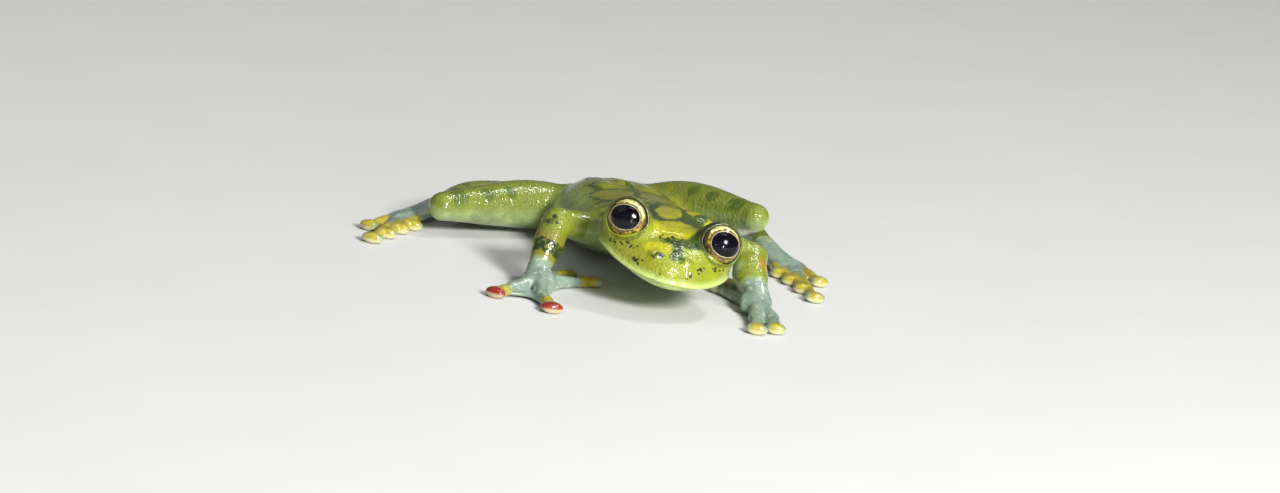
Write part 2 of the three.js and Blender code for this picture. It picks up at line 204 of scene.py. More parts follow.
def limb_piece(clay, stations, up=(0, 0, 1), spare=SPARE):
    """A limb as distances in its own window of the clay. up is the direction of its height."""
    centres, sizes = limb_path(stations)
    reach = sizes.max() + spare
    cut, _ = clay.window(centres.min(0) - reach, centres.max(0) + reach)
    start = np.array([c.start for c in cut])
    piece = np.full([c.stop - c.start for c in cut], FAR_AWAY, np.float32)
    for k in range(len(centres) - 1):
        a, b = centres[k], centres[k + 1]
        along = (b - a) / max(np.linalg.norm(b - a), 1e-6)
        across = np.cross(along, up)
        across /= np.linalg.norm(across)
        over = np.cross(across, along)
        near = sizes[k : k + 2].max() + spare
        small, (x, y, z) = clay.window(np.minimum(a, b) - near, np.maximum(a, b) + near)
        dx, dy, dz = x - a[0], y - a[1], z - a[2]
        length = np.linalg.norm(b - a)
        way = dx * along[0] + dy * along[1] + dz * along[2]
        t = np.clip(way / length, 0, 1)
        u = dx * across[0] + dy * across[1] + dz * across[2]
        v = dx * over[0] + dy * over[1] + dz * over[2]
        width = sizes[k, 0] + (sizes[k + 1, 0] - sizes[k, 0]) * t
        height = sizes[k, 1] + (sizes[k + 1, 1] - sizes[k, 1]) * t
        found = oval_distance(u, v, way - t * length, width, height, np.minimum(width, height))
        inner = tuple(slice(c.start - s, c.stop - s) for c, s in zip(small, start))
        piece[inner] = np.minimum(piece[inner], found)
    return cut, piece


# %% [markdown]
# ## Balls and sheets
# Eye mounds, finger pads and shoulder blades are rounded lumps, and a web is a level sheet. Both
# could be separate meshes joined with booleans, but those leave hard seams. As distances they
# flow into the clay like everything else.

# %% Balls and sheets
def ball_piece(clay, centre, radii, axes=None, spare=SPARE):
    """An ellipsoid. The rows of axes are the directions of its radii."""
    axes = np.eye(3) if axes is None else np.asarray(axes)
    reach = max(radii) + spare
    cut, (x, y, z) = clay.window(np.asarray(centre) - reach, np.asarray(centre) + reach)
    dx, dy, dz = x - centre[0], y - centre[1], z - centre[2]
    u, v, s = (dx * a[0] + dy * a[1] + dz * a[2] for a in axes)
    return cut, oval_distance(u, v, s, *radii)


def sheet_piece(clay, corners, height, thickness, spare=0.5):
    """A level sheet whose outline is a polygon, such as the web between two toes."""
    points = np.asarray(corners, float)
    low = [*(points.min(0) - spare), height - spare]
    high = [*(points.max(0) + spare), height + spare]
    cut, (x, y, z) = clay.window(low, high)
    edge = np.full(np.broadcast(x, y).shape, 1e6)
    inside = np.zeros(edge.shape, bool)
    for (ax, ay), (bx, by) in zip(points, np.roll(points, -1, 0)):
        ex, ey = bx - ax, by - ay
        t = np.clip(((x - ax) * ex + (y - ay) * ey) / (ex * ex + ey * ey), 0, 1)
        edge = np.minimum(edge, (x - ax - t * ex) ** 2 + (y - ay - t * ey) ** 2)
        crosses = (ay > y) != (by > y)
        inside ^= crosses & (x < ax + (y - ay) * ex / (ey if abs(ey) > 1e-9 else 1e-9))
    plan = np.where(inside, -1, 1) * np.sqrt(edge)
    return cut, soft_max(plan, np.abs(z - height) - thickness / 2, 0.06)


CLAY_LOW, CLAY_HIGH = (-16.8, -13.4, -0.25), (13.2, 13.6, 6.9)  # mm, with room round the frog
clay = Clay(CLAY_LOW, CLAY_HIGH, CELL)
print("clay block", clay.depth.shape, "cells of", CELL, "mm")

# %% [markdown]
# ## Head and torso
# Both are rows of sections: half width, top and bottom at each station. The sections are those of
# the solids. The head has its own frame, rolled and turned a little because the frog tilts its
# face and looks to its right.

# %% Sizes of head and torso
HEAD_ROLL, HEAD_TURN = math.radians(7.9), math.radians(9.2)
HEAD_CENTRE = np.array([-0.05, -8.5, 3.42])
JAW_FRONT, JAW_BACK = -1.11, -0.59
MOUTH_CORNER, MOUTH_DROP = -1.4, 0.17
EYE_SPREAD, EYE_RISE = 2.8, 1.15
EYE_TURN, EYE_LIFT = math.radians(13), math.radians(12)
EYE_RADIUS = 1.22

HEAD = np.array([
    # ahead of the eyes, half width, top, bottom
    (-5.2, 2.5, 0.9, -1.37),
    (-3.8, 3.15, 1.1, -1.52),
    (-2.6, 3.65, 1.18, -1.47),
    (-1.4, 3.88, 1.18, -1.4),
    (-0.3, 3.85, 1.12, -1.38),
    (0.7, 3.6, 0.95, -1.46),
    (1.5, 3.17, 0.72, -1.58),
    (2.2, 2.58, 0.42, -1.7),
    (2.75, 1.9, 0.12, -1.7),
    (3.08, 1.22, -0.18, -1.62),
    (3.26, 0.64, -0.45, -1.5),
])
TORSO = np.array([
    # along the body, half width, top, bottom
    (-7.4, 2.5, 4.3, 2.3),
    (-5.6, 3.05, 4.6, 1.85),
    (-3.8, 3.5, 4.72, 1.5),
    (-2.0, 3.8, 4.7, 1.1),
    (0.0, 4.05, 4.55, 0.6),
    (2.2, 4.25, 4.4, 0.12),
    (4.6, 4.15, 4.2, -0.12),
    (6.8, 3.6, 3.85, -0.12),
    (8.8, 2.7, 3.25, -0.02),
    (10.3, 1.7, 2.6, 0.35),
    (11.2, 0.8, 2.05, 0.8),
])
SIDES = {"right": -1, "left": 1}


def in_head(x, ahead, height):
    """A point of the head's own frame in the frog's frame."""
    side = x * math.cos(HEAD_ROLL) + height * math.sin(HEAD_ROLL)
    rise = -x * math.sin(HEAD_ROLL) + height * math.cos(HEAD_ROLL)
    across = side * math.cos(HEAD_TURN) - ahead * math.sin(HEAD_TURN)
    along = -side * math.sin(HEAD_TURN) - ahead * math.cos(HEAD_TURN)
    return HEAD_CENTRE + np.array([across, along, rise])


def head_frame(x, y, z):
    """The reverse: the head's own coordinates of points in the frog's frame."""
    dx, dy, rise = x - HEAD_CENTRE[0], y - HEAD_CENTRE[1], z - HEAD_CENTRE[2]
    side = dx * math.cos(HEAD_TURN) - dy * math.sin(HEAD_TURN)
    ahead = -dx * math.sin(HEAD_TURN) - dy * math.cos(HEAD_TURN)
    across = side * math.cos(HEAD_ROLL) - rise * math.sin(HEAD_ROLL)
    height = side * math.sin(HEAD_ROLL) + rise * math.cos(HEAD_ROLL)
    return across, ahead, height


def jaw_line(ahead):
    """Height of the widest place of the head: low at the snout, rising to the jaw's corner."""
    return JAW_FRONT + (JAW_BACK - JAW_FRONT) * smooth_step(-ahead, -3.5, 0.0)


# %% [markdown]
# ## Sections into clay
# A frog's head is flat on top and widest at the jaw, where the mouth runs from corner to corner.
# A loft through the sections would do for the outside. As clay, the same sections can also take
# a lip above the mouth and a fine crease below it, pressed in along the jaw.

# %% Sections into clay
STATIONS = 120  # samples along a body
HEAD_ROOF, TORSO_ROOF = 1.85, 2.1  # roundness of the top, where 2 is an ellipse
SNOUT_CAP, RUMP_CAP, NECK_CAP = 0.12, 0.45, 1.2  # mm of rounding past the end sections
STEEPEST = 0.15  # least slope of the field that still counts


def trunk_depth(across, along, height, table, widest, roof, cap, grid):
    """Distance to a body of sections. roof is the roundness of the part above the widest line."""
    fine = smooth_curve(table, STATIONS)
    held = np.clip(along, fine[0, 0], fine[-1, 0])
    cap = np.where(along < held, NECK_CAP, cap)
    width, top, bottom = (np.interp(held, fine[:, 0], fine[:, n]) for n in (1, 2, 3))
    middle = widest(held, top, bottom)
    above = (height - middle) / (top - middle)
    below = (height - middle) / (middle - bottom)
    tucked = width * (1 - 0.05 * smooth_step(-below, 0.05, 0.4))
    dome = (np.abs(across / width) ** roof + np.abs(above) ** roof) ** (1 / roof)
    keel = np.sqrt((across / tucked) ** 2 + below**2)
    level = np.where(height > middle, dome, keel)
    level = np.sqrt(level**2 + ((along - held) / cap) ** 2) - 1
    slope = np.sqrt(sum(g**2 for g in np.gradient(level, grid)))
    return (level / np.maximum(slope, STEEPEST)).astype(np.float32)


def add_torso(clay):
    cut, (x, y, z) = clay.window((-5.2, -8.5, -0.25), (5.2, 12.4, 5.6))
    middle = lambda along, top, bottom: bottom + 0.45 * (top - bottom)
    torso = trunk_depth(x, y, z, TORSO, middle, TORSO_ROOF, RUMP_CAP, clay.cell)
    clay.add(cut, torso, 0.1)


def add_head(clay):
    cut, (x, y, z) = clay.window((-5.0, -12.6, 0.6), (5.0, -2.8, 6.0))
    across, ahead, height = head_frame(x, y, z)
    jaw = lambda along, top, bottom: jaw_line(along)
    head = trunk_depth(across, ahead, height, HEAD, jaw, HEAD_ROOF, SNOUT_CAP, clay.cell)
    line = jaw_line(ahead) - MOUTH_DROP
    in_mouth = smooth_step(ahead, MOUTH_CORNER - 0.4, MOUTH_CORNER + 0.4)
    head = head + 0.06 * in_mouth * smooth_step(line - height, -0.03, 0.1)
    clay.add(cut, head, 0.9)
    lip = np.sqrt((head + 0.03) ** 2 + (height - line - 0.13) ** 2) - 0.1
    clay.add(cut, lip + 0.4 * (1 - in_mouth), 0.12)
    crease = np.sqrt(head**2 + (height - line) ** 2) - 0.04
    clay.press(cut, crease + 0.4 * (1 - in_mouth), 0.06)


def add_back_forms(clay):
    """What shows through thin skin: shoulder blades, the hip bones and the ridge between them."""
    for sign in SIDES.values():
        clay.add(*ball_piece(clay, (sign * 2.3, -3.7, 3.95), (1.0, 1.2, 0.7)), 0.8)
        hip_bone = [((sign * 1.35, 3.2, 3.78), 0.4, 0.4), ((sign * 1.1, 8.4, 2.85), 0.35, 0.4)]
        clay.add(*limb_piece(clay, hip_bone), 0.8)
    ridge = [((0, 4.2, 4.0), 0.3, 0.3), ((0, 9.9, 2.65), 0.25, 0.3)]
    clay.add(*limb_piece(clay, ridge), 0.7)


add_torso(clay)
add_back_forms(clay)
add_head(clay)
print("head and torso are in the clay")

# %% [markdown]
# ## Limbs
# The joints are those of the solids. Where a limb grows from the body it is blended widely, and
# where two folded pieces only touch it is blended a little, so that a crease stays.

# %% Joints of the limbs
ARM = {
    "right": {
        "shoulder": (-2.9, -3.5, 3.0),
        "forearm": ((-6.47, -5.5, 2.35), 0.92, 0.86),
        "elbow": (-5.95, -4.6, 3.5),
        "wrist": (-7.1, -6.6, 0.95),
        "tips": [(-4.5, -4.2), (-3.2, -5.3), (-7.4, -12.7), (-10.4, -10.4)],
        "bends": [(-5.9, -5.2), (-5.1, -6.3), (-7.5, -10.0), (-9.0, -8.9)],
    },
    "left": {
        "shoulder": (3.1, -3.7, 3.35),
        "forearm": ((6.05, -5.3, 1.75), 1.08, 0.95),
        "elbow": (6.5, -3.9, 2.45),
        "wrist": (6.25, -6.9, 1.0),
        "tips": [(5.75, -2.2), (4.6, -3.5), (4.85, -12.8), (6.15, -12.3)],
        "bends": [(6.0, -4.6), (5.3, -5.6), (5.4, -10.3), (6.5, -10.0)],
    },
}
LEG = {
    "right": {
        "hip": (-1.5, 7.9, 1.45),
        "thigh_middle": (-5.6, 6.5, 1.75),
        "knee": (-11.0, 3.9, 1.7),
        "calf": (-8.4, 7.4, 1.55),
        "heel": (-3.8, 12.5, 1.15),
        "ankle": (-9.9, 8.7, 0.85),
        "tips": [(-12.6, 3.9), (-13.6, 2.7), (-14.7, 1.2), (-15.9, -0.3), (-15.6, 2.8)],
        "bends": [(-12.0, 6.2), (-12.5, 5.5), (-13.0, 5.0), (-13.5, 4.8), (-13.4, 5.6)],
    },
    "left": {
        "hip": (1.6, 8.2, 1.8),
        "thigh_middle": (4.4, 4.5, 3.25),
        "knee": (7.2, -0.4, 4.05),
        "calf": (7.4, 4.2, 2.9),
        "heel": (6.5, 11.9, 1.2),
        "ankle": (9.8, 7.15, 1.1),
        "tips": [(9.9, 1.5), (10.2, 0.0), (10.5, -1.8), (10.8, -3.7), (12.2, 0.4)],
        "bends": [(10.0, 4.2), (10.3, 3.6), (10.8, 2.9), (11.2, 2.6), (11.7, 3.4)],
    },
}


def between(a, b, share):
    return tuple(np.asarray(a) * (1 - share) + np.asarray(b) * share)


# %% Arms and legs into clay
def arm_stations(side):
    arm = ARM[side]
    upper = [(arm["shoulder"], 1.2, 1.05), (arm["elbow"], 0.8, 0.78)]
    lower = [(arm["elbow"], 0.8, 0.8), arm["forearm"], (arm["wrist"], 0.62, 0.56)]
    return upper, lower


def leg_stations(side):
    leg = LEG[side]
    hip, middle, knee = leg["hip"], leg["thigh_middle"], leg["knee"]
    thigh = [(hip, 1.65, 1.32), (middle, 1.55, 1.48), (knee, 0.85, 0.85)]
    shank = [(knee, 0.8, 0.8), (leg["calf"], 1.05, 1.1), (leg["heel"], 0.62, 0.62)]
    tarsus = [(leg["heel"], 0.66, 0.66), (leg["ankle"], 0.6, 0.55)]
    return thigh, shank, tarsus


for side in SIDES:
    upper, lower = arm_stations(side)
    clay.add(*limb_piece(clay, upper), 0.7)
    clay.add(*limb_piece(clay, lower, up=(0, -1, 0)), 0.35)
    thigh, shank, tarsus = leg_stations(side)
    clay.add(*limb_piece(clay, thigh), 0.6)
    clay.add(*limb_piece(clay, shank), 0.18)
    clay.add(*limb_piece(clay, tarsus), 0.18)
print("arms and legs are in the clay")

# %% [markdown]
# ## Hands and feet
# Tree frogs climb with wide pads. Every digit is a thin limb that swells at its joints and ends
# in such a pad, cut nearly square across its tip, and thin webs join the digits. Each fan of
# digits comes from one function, so that hands and feet differ only in their sizes.

# %% Digits and webs into clay
PAD_HEIGHT = 0.27  # mm from the floor to the middle of a digit's end
WEB_HEIGHT, WEB_THICKNESS = 0.22, 0.2


def digit_stations(root, bend, tip, width):
    """A digit: broad at its root, thicker at its joints, slimmer between them."""
    bend = (*bend, 0.34)
    end = (*tip, PAD_HEIGHT)
    joint = between(bend, end, 0.5)
    return [
        (root, width * 1.3, 0.42),
        (between(root, bend, 0.6), width * 1.1, 0.34),
        (bend, width * 1.15, 0.36),
        (between(bend, joint, 0.5), width * 0.92, 0.3),
        (joint, width * 1.05, 0.33),
        (between(joint, end, 0.6), width * 0.85, 0.27),
        (end, width, 0.26),
    ]


def add_pad(clay, bend, tip, width):
    """The pad at a digit's tip: a low oval, cut nearly square across its front."""
    way = np.subtract(tip, bend)
    way = np.array([*(way / np.linalg.norm(way)), 0.0])
    across = np.array([-way[1], way[0], 0.0])
    centre = np.array([*tip, PAD_HEIGHT + 0.03]) - way * width * 0.3
    cut, oval = ball_piece(clay, centre, (width, width * 0.95, 0.33), (across, way, (0, 0, 1)))
    x, y, z = clay.places(cut)
    front = (x - centre[0]) * way[0] + (y - centre[1]) * way[1] - width * 0.66 + 0 * z
    clay.add(cut, soft_max(oval, front, 0.12), 0.14)


def add_web(clay, root, one, other, reach):
    """Skin between two digits, with an edge that curves in between them."""
    root, one, other = (np.asarray(p, float)[:2] for p in (root, one, other))
    rim = []
    for t in np.linspace(0, 1, 9):
        out = reach * (1 - 0.26 * math.sin(math.pi * t))
        rim.append(root + (one * (1 - t) + other * t - root) * out)
    clay.add(*sheet_piece(clay, [root, *rim], WEB_HEIGHT, WEB_THICKNESS), 0.2)


def add_fan(clay, start, tips, bends, widths, pads, webs):
    for bend, tip, width, pad in zip(bends, tips, widths, pads):
        clay.add(*limb_piece(clay, digit_stations(start, bend, tip, width), spare=0.6), 0.2)
        add_pad(clay, bend, tip, pad)
    for k, reach in webs:
        add_web(clay, start, tips[k], tips[k + 1], reach)


# %% Sizes of hands and feet
HAND_DIGITS = (0.28, 0.28, 0.4, 0.38)  # half widths
HAND_PADS = (0.5, 0.55, 0.66, 0.62)
HAND_WEBS = ((0, 0.35), (1, 0.55), (2, 0.88))  # which two digits, and how far out
FOOT_DIGITS = (0.28, 0.28, 0.29, 0.31, 0.29)
FOOT_PADS = (0.56, 0.52, 0.55, 0.64, 0.58)
FOOT_WEBS = ((0, 0.78), (1, 0.8), (2, 0.8), (3, 0.82))


def knuckles(bends, height):
    return (*np.mean(bends[1:4], axis=0), height)


def palm_and_knuckles(arm):
    line = knuckles(arm["bends"], 0.4)
    return between(arm["wrist"], line, 0.45), line


def sole_and_ball(leg):
    ball = knuckles(leg["bends"], 0.36)
    return between(leg["ankle"], ball, 0.5), ball


# %% Hands and feet into clay
def add_hand(clay, arm):
    palm, line = palm_and_knuckles(arm)
    stations = [(arm["wrist"], 0.62, 0.56), (palm, 0.98, 0.5), (line, 0.85, 0.34)]
    clay.add(*limb_piece(clay, stations), 0.35)
    add_fan(clay, palm, arm["tips"], arm["bends"], HAND_DIGITS, HAND_PADS, HAND_WEBS)


def add_foot(clay, leg):
    sole, ball = sole_and_ball(leg)
    stations = [(leg["ankle"], 0.6, 0.55), (sole, 0.76, 0.46), (ball, 0.78, 0.32)]
    clay.add(*limb_piece(clay, stations), 0.3)
    add_fan(clay, sole, leg["tips"], leg["bends"], FOOT_DIGITS, FOOT_PADS, FOOT_WEBS)


for side in SIDES:
    add_hand(clay, ARM[side])
    add_foot(clay, LEG[side])
print("hands and feet are in the clay")

# %% [markdown]
# ## Eye mounds, lids and nostrils
# A frog's eyes stand out of its head in mounds, and its lids are no more than a soft rim. Lids
# could be modelled as rings, but they would have to be fitted to the balls. Here a cup round each
# eyeball is cut open in front, and the eyeball's own sphere is pressed out of the clay, so the
# lids hug it of themselves.

# %% The face into clay
LID = 0.09  # thickness of the lids over the eyeball
LID_OPENING = 0.38  # from the eye's centre to the lid's rim, along the eye's axis
SOCKET_GAP = 0.015  # mm between the socket and the eyeball


def eye_centre(side):
    return in_head(SIDES[side] * EYE_SPREAD, 0, EYE_RISE)


def eye_axis(side):
    return facing(SIDES[side] * EYE_TURN - HEAD_TURN, EYE_LIFT)


def add_eye_mound(clay, side):
    centre, axis = eye_centre(side), eye_axis(side)
    root = in_head(SIDES[side] * (EYE_SPREAD - 0.45), -0.75, EYE_RISE - 0.75)
    clay.add(*ball_piece(clay, root, (1.65, 1.8, 1.3)), 0.6)
    cut, cup = ball_piece(clay, centre - 0.1 * axis, [EYE_RADIUS + LID + 0.06] * 3)
    x, y, z = clay.places(cut)
    front = (x - centre[0]) * axis[0] + (y - centre[1]) * axis[1] + (z - centre[2]) * axis[2]
    clay.add(cut, soft_max(cup, front - LID_OPENING, 0.1), 0.35)


def press_eye(clay, side):
    clay.press(*ball_piece(clay, eye_centre(side), [EYE_RADIUS + SOCKET_GAP] * 3), 0.05)


def skin_height(x, ahead):
    """Height of the head's top at a place on it, in the head's frame."""
    fine = smooth_curve(HEAD, STATIONS)
    width, top = (np.interp(ahead, fine[:, 0], fine[:, n]) for n in (1, 2))
    arch = (1 - abs(x / width) ** HEAD_ROOF) ** (1 / HEAD_ROOF)
    return jaw_line(ahead) + (top - jaw_line(ahead)) * arch


NOSTRIL_SPREAD, NOSTRIL_AHEAD = 0.95, 2.45


def add_nostril(clay, sign):
    height = skin_height(NOSTRIL_SPREAD, NOSTRIL_AHEAD)
    rim = in_head(sign * NOSTRIL_SPREAD, NOSTRIL_AHEAD, height - 0.1)
    clay.add(*ball_piece(clay, rim, (0.3, 0.3, 0.19)), 0.35)
    hole = in_head(sign * (NOSTRIL_SPREAD + 0.05), NOSTRIL_AHEAD + 0.12, height + 0.1)
    clay.press(*ball_piece(clay, hole, (0.1, 0.12, 0.17), spare=0.3), 0.07)


for side in SIDES:
    add_eye_mound(clay, side)
for sign in SIDES.values():
    add_nostril(clay, sign)
for side in SIDES:
    press_eye(clay, side)
print("the face is in the clay")

# %% [markdown]
# ## Resting on the floor
# Belly, palms and soles go flat where the frog's weight presses them down. Cutting the mesh there
# would leave a sharp edge, so the clay itself is stopped softly, a hair above the floor.

# %% The floor stops the clay
CLEARANCE = 0.004  # mm
cut, (x, y, z) = clay.window((-17, -14, -0.3), (14, 14, 1.2))
clay.depth[cut] = soft_max(clay.depth[cut], (CLEARANCE - z) + 0 * (x + y), 0.06)
print("flat on the floor, with", CLEARANCE, "mm of air")

# %% [markdown]
# ## From clay to mesh
# The zero surface is cut out of the grid as quads, and each point is then slid along the slope
# of the field until it lies on the skin, which takes away the last steps of the grid.

# %% The skin's mesh
def sample(field, points):
    """The field's value at points, blended from the eight cells round each."""
    at = (points - clay.low) / clay.cell
    low = np.clip(np.floor(at).astype(int), 0, np.array(field.shape) - 2)
    f = at - low
    value = 0
    for dx in (0, 1):
        for dy in (0, 1):
            for dz in (0, 1):
                share = abs(1 - dx - f[:, 0]) * abs(1 - dy - f[:, 1]) * abs(1 - dz - f[:, 2])
                value = value + share * field[low[:, 0] + dx, low[:, 1] + dy, low[:, 2] + dz]
    return value


def slope_at(field, points, step):
    """The field's slope at points, from samples a step to either side."""
    slope = np.empty_like(points)
    for k in range(3):
        shift = np.zeros(3)
        shift[k] = step
        slope[:, k] = (sample(field, points + shift) - sample(field, points - shift)) / (2 * step)
    return slope


def skin_from(clay):
    """Points and quads of the surface where the distance is zero."""
    grid = openvdb.FloatGrid(FAR_AWAY)
    grid.copyFromArray(clay.depth)
    points, _, quads = grid.convertToPolygons(isovalue=0.0, adaptivity=0.0)
    points = points.astype(float) * clay.cell + clay.low
    for _ in range(2):
        slope = slope_at(clay.depth, points, clay.cell)
        depth = sample(clay.depth, points)
        points -= slope * (depth / np.maximum((slope**2).sum(1), 0.05))[:, None]
    return points, quads


skin_points, skin_quads = skin_from(clay)
print("skin", len(skin_points), "points", len(skin_quads), "quads")


# %% A mesh object from points
def mesh_object(name, points, faces):
    """A smooth object from points in the frog's own millimetres."""
    mesh = bpy.data.meshes.new(name)
    mesh.from_pydata(shared(points).tolist(), [], list(faces))
    mesh.update()
    mesh.shade_smooth()
    thing = bpy.data.objects.new(name, mesh)
    bpy.context.scene.collection.objects.link(thing)
    return thing


# %% [markdown]
# ## Grain of the skin
# The back of a glass frog isn't smooth: it is covered with fine, soft grains that break up every
# wet highlight. Bump in a material fakes them from afar, but here the larger ones are real: each
# point of the mesh is pushed out along its normal by the nearest of many scattered grains. Throat,
# belly, webs and pads stay smooth.

# %% Scattered cells
def nearest_cells(points, spacing, seed):
    """Distance to the nearest of many jittered spots, one a cell, in units of the spacing."""
    at = points / spacing
    home = np.floor(at).astype(np.int64)
    nearest = np.full(len(points), 9.0)
    for dx in (-1, 0, 1):
        for dy in (-1, 0, 1):
            for dz in (-1, 0, 1):
                cell = home + (dx, dy, dz)
                mixed = (cell * (73856093, 19349663, 83492791)).sum(1) + seed * 7919
                spot = cell.astype(float)
                for k in range(3):
                    mixed = (mixed * 1103515245 + 12345 + k) & 0x7FFFFFFF
                    spot[:, k] += 0.15 + 0.7 * ((mixed >> 8) & 0xFFFF) / 65536
                nearest = np.minimum(nearest, np.sqrt(((at - spot) ** 2).sum(1)))
    return nearest


# %% [markdown]
# ## Where each colour lies
# The markings follow the frog's own landmarks, not a picture. A mask is computed for every point
# of the skin from its place on the head, back or limb, and is kept on the mesh as an attribute
# that the material reads. This keeps the markings in place from every side.

# %% Landmarks for the markings
slopes = slope_at(clay.depth, skin_points, clay.cell)
normals = slopes / np.maximum(np.linalg.norm(slopes, axis=1), 1e-6)[:, None]
px, py, pz = skin_points.T
across, ahead, height = head_frame(px, py, pz)
rng = np.random.default_rng(11)


def along_segment(a, b):
    """How far each point of the skin is from a segment, and its place along it from 0 to 1."""
    a, b = np.asarray(a, float), np.asarray(b, float)
    way = b - a
    t = np.clip((skin_points - a) @ way / (way @ way), 0, 1)
    return np.linalg.norm(skin_points - a - t[:, None] * way, axis=1), t


def away_from(place):
    """How far each point of the skin is from a place."""
    return np.linalg.norm(skin_points - np.asarray(place, float), axis=1)


def on_limb(a, b, radius):
    away, t = along_segment(a, b)
    return 1 - smooth_step(away, radius, radius + 0.3), t


def spot_mask(x, y, centre, half_length, half_width, turn=0.0, soft=0.25):
    """An oval spot, its long axis turned from the first direction by this many degrees."""
    c, s = math.cos(math.radians(turn)), math.sin(math.radians(turn))
    dx, dy = x - centre[0], y - centre[1]
    way = np.sqrt(((dx * c + dy * s) / half_length) ** 2 + ((dy * c - dx * s) / half_width) ** 2)
    return 1 - smooth_step(way, 1 - soft, 1 + soft)


def union(*masks):
    clear = 1.0
    for mask in masks:
        clear = clear * (1 - mask)
    return 1 - clear


on_head = smooth_step(-py, 4.2, 5.6) * (np.abs(across) < 4.6) * (height > -2.4)
on_leg, on_arm = 0.0, 0.0
for side in SIDES:
    arm, leg = ARM[side], LEG[side]
    upper_arm = on_limb(arm["shoulder"], arm["elbow"], 1.35)[0]
    on_arm = union(on_arm, upper_arm, on_limb(arm["elbow"], arm["wrist"], 1.1)[0])
    thigh = [leg["hip"], leg["thigh_middle"], leg["knee"]]
    shank = [leg["knee"], leg["calf"], leg["heel"]]
    for a, b in [*zip(thigh, thigh[1:]), *zip(shank, shank[1:])]:
        on_leg = union(on_leg, on_limb(a, b, 1.6)[0])
    on_leg = union(on_leg, on_limb(leg["heel"], leg["ankle"], 0.9)[0])
on_arm = on_arm * (1 - on_head * (height > -1.9))
print("legs are", round(float((on_leg > 0.5).mean()) * 100), "% of the skin")

# %% [markdown]
# ## Landmarks of hands and feet
# The photograph shows yellow toes, and red tips on the right hand. Painting them would need a
# brush for every digit, so each point of the skin is told instead which digit it is on and how
# far out it lies.

# %% Hands and feet
def digit_masks(start, bends, tips):
    """For one hand or foot: how near each point is to a digit, how far out, and which digit."""
    near = np.full(len(skin_points), 9.0)
    out = np.zeros(len(skin_points))
    which = np.full(len(skin_points), -1)
    for k, (bend, tip) in enumerate(zip(bends, tips)):
        bend, tip = (*bend, 0.35), (*tip, 0.25)
        first, second = math.dist(start, bend), math.dist(bend, tip)
        for a, b, begin, share in ((start, bend, 0, first), (bend, tip, first, second)):
            away, t = along_segment(a, b)
            closer = away < near
            near = np.where(closer, away, near)
            out = np.where(closer, (begin + t * share) / (first + second), out)
            which = np.where(closer, k, which)
    return near, out, which


fans = {}
for side in SIDES:
    arm, leg = ARM[side], LEG[side]
    fans[side, "hand"] = digit_masks(palm_and_knuckles(arm)[0], arm["bends"], arm["tips"])
    fans[side, "foot"] = digit_masks(sole_and_ball(leg)[0], leg["bends"], leg["tips"])
print("landmarks for", len(skin_points), "points")

# %% [markdown]
# ## Where the green ends
# Only the upper side of a glass frog is green. The colour ends along a line on each flank and
# half way down the legs, and the skin below is thin and pale. A straight edge would look painted,
# so the line is made ragged by scattered cells.

# %% Pigment of the upper side
def back_edge(along):
    """Half the width of the green at places along the body."""
    return np.interp(along, (-7.4, -4.5, 0.0, 4.7, 9.0, 11.2), (3.4, 3.35, 3.0, 2.5, 1.9, 0.9))


def thigh_crease(across, along):
    """The pigment reaches farther out on the left, where the thigh presses on the flank."""
    return 0.9 * (across > 0) * smooth_step(along, -4.0, -2.0)


ragged = (nearest_cells(skin_points, 0.5, 3) - 0.5) * 0.5
past_edge = np.abs(px) + 2 * ragged - back_edge(py) - thigh_crease(px, py)
on_back = (1 - smooth_step(past_edge, -0.4, 0.5)) * smooth_step(pz, 2.0, 2.9)
flank = 0.6 * (1 - smooth_step(past_edge, 0.2, 1.6)) * smooth_step(pz, 0.9, 2.4)
face_front = smooth_step(height - jaw_line(ahead) + 0.15 * ragged, -0.15, 0.35)
on_top = smooth_step(normals[:, 2] + ragged * 0.5, 0.05, 0.45)
leg_top = smooth_step(normals[:, 2] - 0.15 * normals[:, 1] + ragged * 0.5, -0.45, 0.75)
arm_side = smooth_step(normals[:, 2] - 0.5 * normals[:, 1] + ragged * 0.4, -0.7, 0.3)
near_palm = 0.0
for side in SIDES:
    near, t = on_limb(ARM[side]["elbow"], ARM[side]["wrist"], 1.2)
    near_palm = union(near_palm, near * smooth_step(t, 0.68, 0.95))
dorsal = np.maximum.reduce([
    np.maximum(on_back, flank) * (1 - on_head),
    on_head * face_front,
    on_leg * leg_top * smooth_step(pz, 0.9, 1.6),
    on_arm * arm_side * (1 - near_palm),
])
print("pigment covers", round(float((dorsal > 0.5).mean()) * 100), "% of the skin")

# %% [markdown]
# ## Yellow spots
# Large yellow spots with dark green between them name this frog. A cell texture would give spots
# anywhere. Those on the crown and snout are listed one by one instead, because they make this
# frog's face. Those on the back are scattered evenly, and each point belongs to the nearest one.

# %% Yellow spots
CROWN_SPOTS = (
    # middle (across, ahead), half length, half width, turn in degrees
    ((0.17, -0.68), 1.95, 1.12, -51),  # the large one between the eyes
    ((-0.08, -4.05), 1.85, 0.75, -80),  # behind it
    ((1.85, -6.0), 1.6, 0.55, -66),  # the rest lie on the nape
    ((3.2, -4.6), 1.3, 0.75, -50),
    ((-1.75, -4.6), 1.1, 0.5, -75),
)
SNOUT_YELLOW = ((-0.83, 1.95), 0.82, 0.48, 2)
BACK_LOW, BACK_HIGH = (-4.2, -4.5), (4.2, 11.0)
SPOT_SPACING, SPOT_TRIES = 2.0, 1500


def scattered_spots(low, high, spacing, tries):
    """Evenly scattered places: of many random ones, those that keep their distance."""
    kept = []
    for place in rng.uniform(low, high, (tries, 2)):
        if all(math.dist(place, other) > spacing for other in kept):
            kept.append(place)
    return kept


